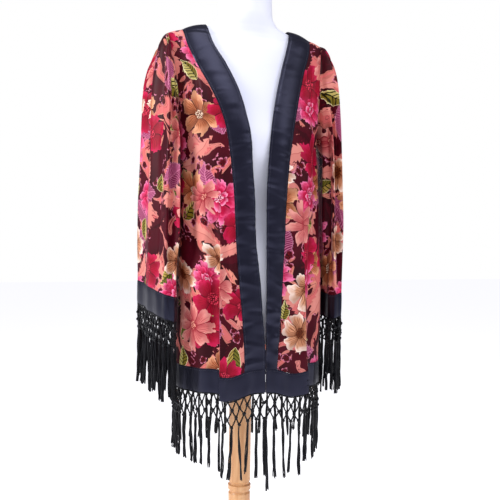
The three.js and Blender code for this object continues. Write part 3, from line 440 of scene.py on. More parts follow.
def body_heart(grid):
    """For each point of a body panel a point inside the body."""
    heart = np.zeros_like(grid)
    heart[..., 2] = np.minimum(grid[..., 2], 1230)
    return heart


def print_places(grid, wrap=False, middle=0):
    """Each point's place on the flat print cloth, in metres. Its grain hangs straight down, so
    a place is measured round the body from one column and up from the lower edge."""
    ring = np.concatenate([grid, grid[:, :1]], axis=1) if wrap else grid
    flat = ring[..., :2]
    steps = np.linalg.norm(np.diff(flat, axis=1), axis=-1)
    u = np.concatenate([np.zeros((len(ring), 1)), np.cumsum(steps, axis=1)], axis=1)
    u -= u[:, middle:middle + 1] - flat[:, middle:middle + 1, 0] * (0 if wrap else 1)
    run = unit(np.gradient(flat, axis=1))[1:]
    move = np.diff(ring, axis=0)
    aside = move[..., 0] * run[..., 1] - move[..., 1] * run[..., 0]
    rise = np.hypot(move[..., 2], aside)
    v = np.concatenate([np.cumsum(rise[::-1], axis=0)[::-1], np.zeros((1, ring.shape[1]))])
    return np.stack([u, v + ring[-1:, :, 2]], axis=-1) * MM


def cut_places(grid, wrap=False):
    """Each point's place on a flat band, in metres: across and down."""
    ring = np.concatenate([grid, grid[:, :1]], axis=1) if wrap else grid
    steps = np.linalg.norm(np.diff(ring, axis=1), axis=-1)
    u = np.concatenate([np.zeros((len(ring), 1)), np.cumsum(steps, axis=1)], axis=1)
    fall = np.linalg.norm(np.diff(ring, axis=0), axis=-1)
    v = np.concatenate([np.zeros((1, ring.shape[1])), np.cumsum(fall, axis=0)], axis=0)
    return np.stack([u, -v], axis=-1) * MM


def shell(name, outer, thick, material, heart, wrap=False, uv=None, inner=None):
    """A closed thin wall of cloth on a grid of outer points."""
    rows, cols = outer.shape[:2]
    if inner is None:
        inner = outer - grid_normals(outer, wrap, heart) * thick
    points = np.concatenate([outer.reshape(-1, 3), inner.reshape(-1, 3)]) * MM
    uv = cut_places(outer, wrap) if uv is None else uv
    spans = cols if wrap else cols - 1
    r, c = (a.ravel() for a in np.meshgrid(np.arange(rows - 1), np.arange(spans), indexing="ij"))

    def corner(row, col, layer):
        return layer * rows * cols + row * cols + col % cols

    def quads(*corners):
        index = np.stack([corner(*k) for k in corners], axis=-1)
        place = np.stack([uv[k[0], k[1]] for k in corners], axis=-2)
        return index, place

    made = [quads((r, c, 0), (r + 1, c, 0), (r + 1, c + 1, 0), (r, c + 1, 0)),
            quads((r, c + 1, 1), (r + 1, c + 1, 1), (r + 1, c, 1), (r, c, 1))]
    low, side = np.arange(spans), np.arange(rows - 1)
    for row, (a, b) in ((0, (1, 0)), (rows - 1, (0, 1))):
        top = np.full(spans, row)
        made.append(quads((top, low + a, 0), (top, low + a, 1),
                          (top, low + b, 1), (top, low + b, 0)))
    if not wrap:
        for col, (a, b) in ((0, (0, 1)), (cols - 1, (1, 0))):
            edge = np.full(rows - 1, col)
            made.append(quads((side + a, edge, 0), (side + a, edge, 1),
                              (side + b, edge, 1), (side + b, edge, 0)))
    faces = np.concatenate([m[0] for m in made])
    places = np.concatenate([m[1] for m in made])
    a, b, d = points[faces[:, 0]], points[faces[:, 1]], points[faces[:, 2]]
    if np.sum(a * np.cross(b, d)) < 0:
        faces, places = faces[:, ::-1], places[:, ::-1]
    return mesh_object(name, points, faces.tolist(), material, places)


def placed(name, data):
    """A new object in the scene."""
    made = bpy.data.objects.new(name, data)
    bpy.context.scene.collection.objects.link(made)
    return made


def ring_faces(rows, sides):
    """Faces between rings of points that follow each other."""
    return [(r * sides + c, r * sides + (c + 1) % sides,
             (r + 1) * sides + (c + 1) % sides, (r + 1) * sides + c)
            for r in range(rows - 1) for c in range(sides)]


def mesh_object(name, points, faces, material, places=None, sharp=55):
    """A smooth mesh with sharp edges where its faces meet at more than the angle sharp."""
    mesh = bpy.data.meshes.new(name)
    mesh.from_pydata(points.tolist(), [], faces)
    if places is not None:
        layer = mesh.uv_layers.new(name="cut")
        layer.data.foreach_set("uv", places.reshape(-1).astype(np.float32))
    mesh.polygons.foreach_set("use_smooth", np.ones(len(mesh.polygons), bool))
    mesh.set_sharp_from_angle(angle=math.radians(sharp))
    mesh.materials.append(material)
    return placed(name, mesh)


def settle(piece, slot, *nodes):
    """The piece rides with the part and stands for its solids."""
    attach(piece, "root")
    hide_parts(*nodes)
    return piece


# Materials

def linear(colour):
    """An sRGB hex value as the linear colour that Blender works in."""
    parts = [(colour >> shift & 255) / 255 for shift in (16, 8, 0)]
    return tuple(p / 12.92 if p <= 0.04045 else ((p + 0.055) / 1.055) ** 2.4 for p in parts)


def rgba(colour):
    return (*linear(colour), 1.0)


def add(tree, kind, inputs=None, operation=None, out=0, stops=None, **settings):
    """Adds a node with its settings and links and gives back one of its outputs. inputs is a
    dict by socket, or a tuple of the first ones. stops are the places and colours of a ramp."""
    node = tree.nodes.new(kind)
    if operation:
        settings["operation"] = operation
    for name, value in settings.items():
        setattr(node, name, value)
    for i, (place, colour) in enumerate(stops or []):
        if 0 < i < len(stops) - 1:
            element = node.color_ramp.elements.new(place)
        else:
            element = node.color_ramp.elements[-1 if i else 0]
            element.position = place
        element.color = rgba(colour)
    if isinstance(inputs, tuple):
        inputs = dict(enumerate(inputs))
    for socket, value in (inputs or {}).items():
        if isinstance(value, bpy.types.NodeSocket):
            tree.links.new(value, node.inputs[socket])
        else:
            node.inputs[socket].default_value = value
    return node.outputs[out] if len(node.outputs) else node


MATH = "ShaderNodeMath"
VECTOR = "ShaderNodeVectorMath"
MIX = "ShaderNodeMix"
NOISE = "ShaderNodeTexNoise"
CELLS = "ShaderNodeTexVoronoi"
RAMP = "ShaderNodeValToRGB"
SPLIT = "ShaderNodeSeparateXYZ"
RANGE = "ShaderNodeMapRange"
PRINCIPLED = "ShaderNodeBsdfPrincipled"
COLOURS = dict(out=2, data_type="RGBA")            # settings of a node that mixes colours
ROUNDED = dict(interpolation_type="SMOOTHSTEP")    # settings of a range with soft ends
SHADE = "NodeSocketColor"
NUMBER = "NodeSocketFloat"
POINT = "NodeSocketVector"


def motif_group(name, numbers, shades):
    """An empty node group for a motif that is drawn once in each cell of a lattice."""
    tree = bpy.data.node_groups.new(name, "ShaderNodeTree")
    for kind, labels in ((POINT, ("Point", "Shift", "Spacing")), (NUMBER, numbers),
                         (SHADE, shades)):
        for label in labels:
            tree.interface.new_socket(label, in_out="INPUT", socket_type=kind)
    for kind, label in ((SHADE, "Color"), (NUMBER, "Mask")):
        tree.interface.new_socket(label, in_out="OUTPUT", socket_type=kind)
    return tree, tree.nodes.new("NodeGroupInput").outputs, tree.nodes.new("NodeGroupOutput")


def motif_cell(tree, given):
    """The nearest motif's own coordinates in millimetres, and three random values of it."""
    moved = add(tree, VECTOR, (given["Point"], given["Shift"]), "ADD")
    place = add(tree, VECTOR, (moved, given["Spacing"]), "DIVIDE")
    cell = add(tree, CELLS, {"Vector": place, "Scale": 1.0, "Randomness": 0.72},
               voronoi_dimensions="2D", feature="F1")
    local = add(tree, VECTOR, (place, cell.node.outputs["Position"]), "SUBTRACT")
    local = add(tree, VECTOR, (local, given["Spacing"]), "MULTIPLY")
    chance = add(tree, SPLIT, (cell.node.outputs["Color"],)).node.outputs
    return local, chance


VEIN_TURNS = 37.7        # radians of the veins' wave across a petal, which makes six veins


def flower_group():
    """An open flower of petals round a heart, one in each cell."""
    tree, given, end = motif_group("open flower", FLOWER_NUMBERS, FLOWER_SHADES)
    local, chance = motif_cell(tree, given)
    # Each flower has a size and a turn of its own
    size = add(tree, MATH, (chance[0], 0.24, 0.78), "MULTIPLY_ADD")
    size = add(tree, MATH, (size, given["Radius"]), "MULTIPLY")
    far = add(tree, VECTOR, (local,), "LENGTH", out="Value")
    reach = add(tree, MATH, (far, size), "DIVIDE")
    axes = add(tree, SPLIT, (local,)).node.outputs
    angle = add(tree, MATH, (axes[1], axes[0]), "ARCTAN2")
    angle = add(tree, MATH, (chance[1], math.tau, angle), "MULTIPLY_ADD")
    angle = add(tree, MATH, (angle, given["Turn"]), "ADD")
    around = add(tree, MATH, (angle, 1 / math.tau), "MULTIPLY")
    around = add(tree, MATH, (around, given["Petals"]), "MULTIPLY")
    # The outline: petals with a dent in the tip, clefts between them and a ragged rim
    part = add(tree, MATH, (around,), "FRACT")
    off = add(tree, MATH, (part, 0.5), "SUBTRACT")
    off = add(tree, MATH, (off,), "ABSOLUTE")
    off = add(tree, MATH, (off, 2.0), "MULTIPLY")
    cleft = add(tree, MATH, (off, 2.6), "POWER")
    cleft = add(tree, MATH, (cleft, given["Cleft"]), "MULTIPLY")
    rim = add(tree, MATH, (1.0, cleft), "SUBTRACT")
    dent = add(tree, RANGE, (off, 0.0, 0.24, 0.07, 0.0), **ROUNDED)
    rim = add(tree, MATH, (rim, dent), "SUBTRACT")
    ragged = add(tree, NOISE, {"Vector": local, "Scale": 0.11, "Detail": 1.0},
                 noise_dimensions="2D")
    rim = add(tree, MATH, (ragged, 0.3, rim), "MULTIPLY_ADD")
    rim = add(tree, MATH, (rim, 0.15), "SUBTRACT")
    inside = add(tree, MATH, (reach, rim), "LESS_THAN")
    here = add(tree, MATH, (chance[2], given["Presence"]), "LESS_THAN")
    mask = add(tree, MATH, (inside, here), "MULTIPLY")
    # Colours run from the heart to the tip
    outwards = add(tree, MATH, (reach, rim), "DIVIDE")
    to_petal = add(tree, RANGE, (outwards, 0.1, 0.42, 0.0, 1.0), **ROUNDED)
    colour = add(tree, MIX, {0: to_petal, 6: given["Heart"], 7: given["Petal"]}, **COLOURS)
    to_tip = add(tree, RANGE, (outwards, 0.6, 1.0, 0.0, 1.0), **ROUNDED)
    colour = add(tree, MIX, {0: to_tip, 6: colour, 7: given["Tip"]}, **COLOURS)
    # One side of a petal lies in the shade of the next
    shade = add(tree, RANGE, (part, 0.35, 1.0, 0.0, 0.5))
    wavy = add(tree, MATH, (ragged, 5.0), "MULTIPLY")
    # The veins are fewer and wider than those of printed flowers really are, so that they show
    lines = add(tree, MATH, (around, VEIN_TURNS, wavy), "MULTIPLY_ADD")
    lines = add(tree, MATH, (lines,), "SINE")
    lines = add(tree, RANGE, (lines, 0.25, 0.8, 0.0, 1.0))
    fade = add(tree, RANGE, (outwards, 0.35, 0.9, 1.0, 0.0))
    lines = add(tree, MATH, (lines, fade), "MULTIPLY")
    lines = add(tree, MATH, (lines, given["Veins"]), "MULTIPLY")
    # Dark lines part the petals
    gap = add(tree, MATH, (1.0, off), "SUBTRACT")
    gap = add(tree, MATH, (gap, far), "MULTIPLY")
    gap = add(tree, MATH, (gap, given["Petals"]), "DIVIDE")
    gap = add(tree, MATH, (gap, 0.28), "LESS_THAN")
    dark = add(tree, MATH, (lines, shade), "MAXIMUM")
    dark = add(tree, MATH, (dark, gap), "MAXIMUM")
    colour = add(tree, MIX, {0: dark, 6: colour, 7: given["Vein"]}, **COLOURS)
    # Stamens are dots round the heart
    dots = add(tree, CELLS, {"Vector": local, "Scale": 0.24, "Randomness": 0.5},
               voronoi_dimensions="2D")
    dots = add(tree, MATH, (dots, 0.33), "LESS_THAN")
    near = add(tree, MATH, (reach, given["Stamens"]), "LESS_THAN")
    dots = add(tree, MATH, (dots, near), "MULTIPLY")
    colour = add(tree, MIX, {0: dots, 6: colour, 7: given["Stamen"]}, **COLOURS)
    tree.links.new(colour, end.inputs["Color"])
    tree.links.new(mask, end.inputs["Mask"])
    return tree


def leaf_group():
    """A pointed leaf with a midrib and slanting veins, one in each cell."""
    tree, given, end = motif_group("veined leaf", LEAF_NUMBERS, LEAF_SHADES)
    local, chance = motif_cell(tree, given)
    turn = add(tree, MATH, (chance[1], math.tau), "MULTIPLY")
    turned = add(tree, "ShaderNodeVectorRotate", {"Vector": local, "Angle": turn},
                 rotation_type="Z_AXIS")
    axes = add(tree, SPLIT, (turned,)).node.outputs
    length = add(tree, MATH, (chance[0], 0.3, 0.75), "MULTIPLY_ADD")
    length = add(tree, MATH, (length, given["Length"]), "MULTIPLY")
    # The outline: pointed at both ends, widest before the middle, toothed and a little bent
    along = add(tree, MATH, (axes[0], length), "DIVIDE")
    along = add(tree, MATH, (along, 0.5), "ADD", use_clamp=True)
    rest = add(tree, MATH, (1.0, along), "SUBTRACT")
    swell = add(tree, MATH, (along, rest), "MULTIPLY")
    rest = add(tree, MATH, (rest, 0.5, 0.75), "MULTIPLY_ADD")
    swell = add(tree, MATH, (swell, rest), "MULTIPLY")
    swell = add(tree, MATH, (swell, 4.0), "MULTIPLY")
    half = add(tree, MATH, (swell, given["Width"]), "MULTIPLY")
    tooth = add(tree, MATH, (axes[0], given["Vein gap"]), "DIVIDE")
    tooth = add(tree, MATH, (tooth,), "FRACT")
    tooth = add(tree, MATH, (tooth, given["Teeth"]), "MULTIPLY")
    half = add(tree, MATH, (half, tooth), "SUBTRACT")
    bent = add(tree, MATH, (along, 3.0), "MULTIPLY")
    bent = add(tree, MATH, (bent,), "SINE")
    bent = add(tree, MATH, (bent, 4.0, axes[1]), "MULTIPLY_ADD")
    beside = add(tree, MATH, (bent,), "ABSOLUTE")
    inside = add(tree, MATH, (beside, half), "LESS_THAN")
    here = add(tree, MATH, (chance[2], given["Presence"]), "LESS_THAN")
    mask = add(tree, MATH, (inside, here), "MULTIPLY")
    # The half beside the midrib that faces the light is paler
    side = add(tree, MATH, (bent, 0.0), "GREATER_THAN")
    side = add(tree, MATH, (side, 0.8), "MULTIPLY")
    colour = add(tree, MIX, {0: side, 6: given["Blade"], 7: given["Light"]}, **COLOURS)
    # Slanting veins and the midrib
    slant = add(tree, MATH, (beside, -0.8, axes[0]), "MULTIPLY_ADD")
    slant = add(tree, MATH, (slant, given["Vein gap"]), "DIVIDE")
    slant = add(tree, MATH, (slant,), "FRACT")
    slant = add(tree, MATH, (slant, given["Vein share"]), "LESS_THAN")
    rib = add(tree, MATH, (beside, 0.9), "LESS_THAN")
    lines = add(tree, MATH, (slant, rib), "MAXIMUM")
    colour = add(tree, MIX, {0: lines, 6: colour, 7: given["Vein"]}, **COLOURS)
    edge = add(tree, MATH, (half, beside), "SUBTRACT")
    edge = add(tree, MATH, (edge, 1.2), "LESS_THAN")
    colour = add(tree, MIX, {0: edge, 6: colour, 7: given["Edge"]}, **COLOURS)
    tree.links.new(colour, end.inputs["Color"])
    tree.links.new(mask, end.inputs["Mask"])
    return tree


def finish_material(name, surface_of):
    """A material from the function that builds its tree and returns its shader's output."""
    if name in bpy.data.materials:
        return bpy.data.materials[name]
    material = bpy.data.materials.new(name)
    material.use_nodes = True
    tree = material.node_tree
    tree.nodes.clear()
    shader = surface_of(tree)
    add(tree, "ShaderNodeOutputMaterial", {"Surface": shader})
    return material


# The ground of the print. The dye sinks into the pile, which darkens and saturates a colour by
# this power.
DYE_DEPTH = 1.72
PLUM, DEEP_PLUM = 0x7C2042, 0x601835
SALMON = [(0.3, 0xE2A8A2), (0.5, 0xD69891), (0.7, 0xE8B1A3)]
PATCH_EDGE = 0.535       # above this the patches' noise is salmon
STREAK_EDGE, STREAK = 0.61, 0xE39A98
# Drawn lines in the salmon: level of the noise, half width, colour. Real ones are finer, these
# are as wide as they need to be to show.
DRAWN_LINES = [(0.574, 0.0028, 0x7C2440), (0.636, 0.0034, 0x9A3A50)]

# The motifs from the bottom layer to the top, each kind on a lattice of its own: where the
# lattice starts, its spacing, then the numbers and colours that the tuples above them name.
# Lengths are in millimetres, a presence is the share of the lattice's cells that have a motif.
LEAF_NUMBERS = ("Presence", "Length", "Width", "Vein gap", "Vein share", "Teeth")
LEAF_SHADES = ("Blade", "Light", "Vein", "Edge")
LEAVES = [
    ((90, 400), 104, (0.8, 112, 21, 11, 0, 6), (0xE5ACA4, 0xEAB5AC, 0xDA9A93, 0xE5ACA4)),
    ((500, 250), 92, (0.75, 96, 16, 9, 0, 5), (PLUM, 0x681A36, PLUM, PLUM)),
    ((40, 10), 142, (0.62, 100, 27, 4.8, 0.28, 4), (0xA8567E, 0xBA6F94, 0xDDA3BB, 0xE2B0C4)),
    ((300, 520), 104, (0.5, 60, 15, 7.5, 0.3, 1), (0xA79B52, 0xE3D9A2, 0x4B4A1C, 0xEDE6C4)),
    ((710, 90), 150, (0.5, 66, 18, 8, 0.25, 1), (0xC9B878, 0x8F9048, 0x3E401A, 0xF0E8C8)),
]
FLOWER_NUMBERS = ("Presence", "Radius", "Petals", "Cleft", "Turn", "Veins", "Stamens")
FLOWER_SHADES = ("Heart", "Petal", "Tip", "Vein", "Stamen")
# Small flowers that stand in clusters
CLUSTER = ((120, 75), 25, (0.8, 11, 5, 0.42, 0, 0, 0.1),
           (0xC21A3E, 0x8C1038, 0xF1B6C9, 0x5A0C2B, 0xF6DDE4))
FLOWERS = [
    ((10, 205), 166, (0.6, 50, 6, 0.36, 0, 1, 0.24),
     (0x9C5F42, 0xD69E7E, 0xEFC6AB, 0x763A20, 0xF6E6D4)),
    ((470, 330), 182, (0.6, 54, 9, 0.3, 0, 0.4, 0),
     (0xBE2050, 0xDA4680, 0xF5A9C8, 0xAA2450, 0xF6C4D6)),
    ((470, 330), 182, (0.6, 38, 7, 0.32, 0.5, 0.4, 0),
     (0xAE1C48, 0xD23570, 0xEE80A6, 0x9A1E48, 0xF6C4D6)),
    ((470, 330), 182, (0.6, 22, 5, 0.3, 1.1, 0.3, 0.5),
     (0xA21A44, 0xDE4F84, 0xF8BAD2, 0x921A42, 0xF9D7E2)),
    ((860, 640), 160, (0.74, 50, 5, 0.34, 0.3, 0.55, 0.26),
     (0x8E1A40, 0xC52E60, 0xDA4C80, 0x86203F, 0xF0708A)),
    ((240, 910), 190, (0.55, 46, 6, 0.42, 0, 0.95, 0.26),
     (0xA0643F, 0xE5BBA0, 0xFAECE4, 0x8E5636, 0x6C3518)),
    ((640, 30), 190, (0.45, 50, 8, 0.45, 0, 0.85, 0.2),
     (0xB8324F, 0xE3A29E, 0xEFC0B8, 0xB04058, 0xF9CBBB)),
]


def cloth_point(tree):
    """A place on the piece's own flat cloth, in millimetres."""
    flat = add(tree, "ShaderNodeUVMap", uv_map="cut")
    return add(tree, VECTOR, {0: flat, 3: 1000.0}, "SCALE")


def print_motifs(tree, colour, point, group, names, rows):
    """Draws layers of motifs over a colour."""
    numbers, shades = names
    for start, spacing, values, colours in rows:
        made = add(tree, "ShaderNodeGroup", node_tree=group, inputs={
            "Point": point, "Shift": (*start, 0), "Spacing": (spacing,) * 3,
            **dict(zip(numbers, values)), **dict(zip(shades, map(rgba, colours)))})
        colour = add(tree, MIX, {0: made.node.outputs["Mask"], 6: colour, 7: made}, **COLOURS)
    return colour


def print_colour(tree):
    """The flowered print, on the cloth's own flat coordinates."""
    point = cloth_point(tree)
    swirl = add(tree, NOISE, {"Vector": point, "Scale": 0.018, "Detail": 1.5},
                out="Color", noise_dimensions="2D")
    swirl = add(tree, VECTOR, (swirl, (0.5, 0.5, 0.5)), "SUBTRACT")
    swirl = add(tree, VECTOR, {0: swirl, 3: 26.0}, "SCALE")
    drawn = add(tree, VECTOR, (point, swirl), "ADD")
    patches = add(tree, NOISE, {"Vector": drawn, "Scale": 0.0125, "Detail": 1.2,
                                "Roughness": 0.5, "Distortion": 1.8}, noise_dimensions="2D")
    warm = add(tree, MATH, (patches, PATCH_EDGE), "GREATER_THAN")
    tones = add(tree, NOISE, {"Vector": point, "Scale": 0.011, "Detail": 0.0},
                noise_dimensions="2D")
    salmon = add(tree, RAMP, (tones,), stops=SALMON)
    dark = add(tree, RAMP, (tones,), stops=[(0.35, PLUM), (0.7, DEEP_PLUM)])
    colour = add(tree, MIX, {0: warm, 6: dark, 7: salmon}, **COLOURS)
    streaks = add(tree, MATH, (patches, STREAK_EDGE), "GREATER_THAN")
    colour = add(tree, MIX, {0: streaks, 6: colour, 7: rgba(STREAK)}, **COLOURS)
    for level, wide, shade in DRAWN_LINES:
        line = add(tree, MATH, (patches, level, wide), "COMPARE")
        colour = add(tree, MIX, {0: line, 6: colour, 7: rgba(shade)}, **COLOURS)
    leaf = bpy.data.node_groups.get("veined leaf") or leaf_group()
    colour = print_motifs(tree, colour, drawn, leaf, (LEAF_NUMBERS, LEAF_SHADES), LEAVES)
    crowd = add(tree, NOISE, {"Vector": point, "Scale": 0.014, "Detail": 0.0},
                noise_dimensions="2D")
    start, spacing, (most, *rest), colours = CLUSTER
    crowded = add(tree, RANGE, (crowd, 0.54, 0.6, 0.0, most))
    clusters = (start, spacing, (crowded, *rest), colours)
    flower = bpy.data.node_groups.get("open flower") or flower_group()
    colour = print_motifs(tree, colour, drawn, flower, (FLOWER_NUMBERS, FLOWER_SHADES),
                          [clusters, *FLOWERS])
    return add(tree, "ShaderNodeGamma", {"Color": colour, "Gamma": DYE_DEPTH}), point


def print_cloth_surface(tree):
    """Velvet, woven, cut and then printed: deep flat colours, no gloss and a faint pale rim
    where the pile turns away. The pile is drawn some ten times too coarse, so it shows."""
    colour, point = print_colour(tree)
    pile = add(tree, NOISE, {"Vector": point, "Scale": 0.8, "Detail": 2.0}, noise_dimensions="2D")
    bump = add(tree, "ShaderNodeBump", {"Strength": 0.12, "Distance": 0.0004, "Height": pile})
    return add(tree, PRINCIPLED, {
        "Base Color": colour, "Roughness": 0.5, "Specular IOR Level": 0.14,
        "Sheen Weight": 0.05, "Sheen Roughness": 0.3, "Sheen Tint": rgba(0xF6C8D8),
        "Normal": bump})


def satin_surface(tree):
    """Dyed satin, woven with long floats: a smooth dark face with broad, soft, bluish lights.
    The slanting lines of the weave are 3 mm apart, far coarser than real ones, so they show."""
    point = cloth_point(tree)
    cloudy = add(tree, NOISE, {"Vector": point, "Scale": 0.02, "Detail": 2.0},
                 noise_dimensions="2D")
    colour = add(tree, RAMP, (cloudy,), stops=[(0.3, 0x09090F), (0.7, 0x0F0F17)])
    twill = add(tree, "ShaderNodeTexWave", {"Vector": point, "Scale": 0.16, "Distortion": 0.6},
                wave_type="BANDS", bands_direction="DIAGONAL")
    bump = add(tree, "ShaderNodeBump", {"Strength": 0.08, "Distance": 0.0003, "Height": twill})
    return add(tree, PRINCIPLED, {
        "Base Color": colour, "Roughness": 0.37, "Specular IOR Level": 0.55,
        "Specular Tint": rgba(0xBFC1F2), "Sheen Weight": 0.03, "Sheen Roughness": 0.3,
        "Sheen Tint": rgba(0xA09CBC),
        "Normal": bump})


def cord_surface(tree):
    """Viscose filaments, twisted: nearly black, with thin lights along each strand. The
    filaments are drawn about a millimetre wide, far too coarse, so they show."""
    place = add(tree, "ShaderNodeTexCoord", out="Object")
    strands = add(tree, NOISE, {"Vector": place, "Scale": 900.0, "Detail": 1.0})
    colour = add(tree, RAMP, (strands,), stops=[(0.35, 0x030308), (0.7, 0x0A0B13)])
    return add(tree, PRINCIPLED, {
        "Base Color": colour, "Roughness": 0.42, "Specular IOR Level": 0.25,
        "Sheen Weight": 0.02, "Sheen Roughness": 0.35, "Sheen Tint": rgba(0x5A6390)})


def thread_surface(tree):
    """Spun sewing thread: a little lighter than the satin, so a row of stitches just shows."""
    return add(tree, PRINCIPLED, {
        "Base Color": rgba(0x2A2D42), "Roughness": 0.45, "Sheen Weight": 0.1})


def jersey_surface(tree):
    """Cotton jersey, knitted and bleached: matt white with soft edges. Its ribs are 1.4 mm
    apart, twice as coarse as real ones, so they show."""
    place = add(tree, "ShaderNodeTexCoord", out="Object")
    knit = add(tree, "ShaderNodeTexWave", {"Vector": place, "Scale": 220.0, "Distortion": 0.4},
               wave_type="BANDS", bands_direction="X")
    bump = add(tree, "ShaderNodeBump", {"Strength": 0.06, "Distance": 0.0003, "Height": knit})
    cloudy = add(tree, NOISE, {"Vector": place, "Scale": 6.0, "Detail": 2.0})
    colour = add(tree, RAMP, (cloudy,), stops=[(0.3, 0xDEE1F3), (0.7, 0xEAECF8)])
    return add(tree, PRINCIPLED, {
        "Base Color": colour, "Roughness": 0.7, "Sheen Weight": 0.2, "Sheen Roughness": 0.4,
        "Normal": bump})


def wood_surface(tree):
    """Beech, turned and varnished: a pale brown, long grain under a thin soft gloss. The grain
    is drawn a few millimetres wide, coarser than it is, so it shows."""
    place = add(tree, "ShaderNodeTexCoord", out="Object")
    long = add(tree, "ShaderNodeMapping", {"Vector": place, "Scale": (1.0, 1.0, 0.06)})
    grain = add(tree, NOISE, {"Vector": long, "Scale": 160.0, "Detail": 4.0, "Roughness": 0.6,
                              "Distortion": 0.4})
    colour = add(tree, RAMP, (grain,), stops=[(0.3, 0xC78A57), (0.52, 0xDDA46E), (0.75, 0xE7B684)])
    bump = add(tree, "ShaderNodeBump", {"Strength": 0.05, "Distance": 0.0003, "Height": grain})
    return add(tree, PRINCIPLED, {
        "Base Color": colour, "Roughness": 0.42, "Coat Weight": 0.25, "Coat Roughness": 0.25,
        "Normal": bump})


def floor_surface(tree):
    """Matt paint, rolled on: pale and even, so it meets the white ground without an edge."""
    white = rgba(0xFFFFFF)
    return add(tree, PRINCIPLED, {"Base Color": white, "Roughness": 0.9,
                                  "Emission Color": white, "Emission Strength": 0.78})


# Settings

class KimonoSizes(bpy.types.PropertyGroup):
    """Sizes that a user would change."""
    cloth: FloatProperty(name="Cloth", description="Thickness of the print cloth",
                         default=0.0009, unit="LENGTH")
    band: FloatProperty(name="Band", description="Thickness of the folded satin bands",
                        default=0.0018, unit="LENGTH")
    roll: FloatProperty(name="Roll", description="How far the front bands swell in the middle",
                        default=0.0032, unit="LENGTH")
    tassel_gap: FloatProperty(name="Tassel gap", description="Distance between two tassels",
                              default=0.0185, unit="LENGTH")
    yarn: FloatProperty(name="Yarn", description="Thickness of one yarn of a tassel",
                        default=0.0023, unit="LENGTH")
    yarns: IntProperty(name="Yarns", description="Yarns in one tassel", default=9)


class KimonoCamera(bpy.types.PropertyGroup):
    """Where the picture is taken from."""
    azimuth: FloatProperty(name="Azimuth", description="Turn of the camera round the stand",
                           default=math.radians(-15), subtype="ANGLE")
    distance: FloatProperty(name="Distance", description="From the pole to the camera",
                            default=1.6, unit="LENGTH")
    height: FloatProperty(name="Height", description="Height of the camera above the floor",
                          default=0.955, unit="LENGTH")
    roll: FloatProperty(name="Roll", description="Tilt of the picture",
                        default=math.radians(0.7), subtype="ANGLE")
    lens: FloatProperty(name="Lens", description="Focal length", default=50.7, unit="CAMERA")
    ground: FloatVectorProperty(name="Ground", description="Colour behind the object",
                                default=linear(0xFFFFFF), subtype="COLOR")


AIM_ASIDE, AIM_HEIGHT = 0.018, 0.916     # the camera looks at this place beside the pole
# Name, direction, distance, size, power and height of each soft light
LIGHTS = [("key", -84, 2.2, 0.8, 42, 1.9), ("fill", 38, 2.4, 1.6, 21, 2.5),
          ("top", -15, 1.1, 1.4, 26, 2.9)]
LIGHTS_AIM = 1.0         # height that every light points at
SOFT_LIGHT, SOFT_STRENGTH = 0xE2E2FF, 0.24
FLOOR_HALF = 12.0


class KIMONO_OT_stage(bpy.types.Operator):
    """Make the camera, the soft studio light and the pale floor"""
    bl_idname = "kimono.stage"
    bl_label = "Stage"

    def execute(self, context):
        view = context.scene.kimono_camera
        turn = Vector((math.sin(view.azimuth), -math.cos(view.azimuth), 0))
        right = Vector((math.cos(view.azimuth), math.sin(view.azimuth), 0))
        eye = turn * view.distance + Vector((0, 0, view.height))
        aim = right * AIM_ASIDE + Vector((0, 0, AIM_HEIGHT))
        data = bpy.data.cameras.new("camera")
        data.lens = view.lens
        data.clip_end = 50
        camera = placed("camera", data)
        camera.location = eye
        camera.rotation_mode = "QUATERNION"
        look = (aim - eye).to_track_quat("-Z", "Y")
        camera.rotation_quaternion = look @ Quaternion((0, 0, 1), view.roll)
        context.scene.camera = camera

        for name, azimuth, far, size, power, high in LIGHTS:
            lamp = bpy.data.lights.new(name, "AREA")
            lamp.shape = "SQUARE"
            lamp.size = size
            lamp.energy = power
            made = placed(name, lamp)
            angle = math.radians(azimuth)
            made.location = (math.sin(angle) * far, -math.cos(angle) * far, high)
            toward = Vector((0, 0, LIGHTS_AIM)) - made.location
            made.rotation_euler = toward.to_track_quat("-Z", "Y").to_euler()

        world = bpy.data.worlds.new("studio")
        world.use_nodes = True
        tree = world.node_tree
        tree.nodes.clear()
        seen = add(tree, "ShaderNodeLightPath", out="Is Camera Ray")
        soft = add(tree, "ShaderNodeBackground",
                   {"Color": rgba(SOFT_LIGHT), "Strength": SOFT_STRENGTH})
        white = add(tree, "ShaderNodeBackground", {"Color": (*view.ground, 1), "Strength": 1.0})
        both = add(tree, "ShaderNodeMixShader", (seen, soft, white))
        add(tree, "ShaderNodeOutputWorld", {"Surface": both})
        context.scene.world = world
        context.scene.view_settings.view_transform = "Standard"

        half = FLOOR_HALF
        corners = np.array([(-half, -half, 0), (half, -half, 0), (half, half, 0), (-half, half, 0)])
        floor = mesh_object("floor", corners, [(0, 1, 2, 3)],
                            finish_material("pale_floor_paint", floor_surface))
        return {"FINISHED"}


FORM_SIDES = 96
FORM_ROWS = [(715, 730, 5), (730, 1340, 100), (1340, 1440, 60), (1440, 1486, 12), (1486, 1494, 8)]
FORM_ENDS = [(0, 20, 715), (0, -22, 1494)]     # the middles of its flat lower and upper ends
FORM_UNDER_CLOTH = 1.2   # the form is this much smaller where the shoulders fill the cloth
FORM_TIGHT = ((1280, 1340), (1412, 1424))      # it starts and ends between these heights


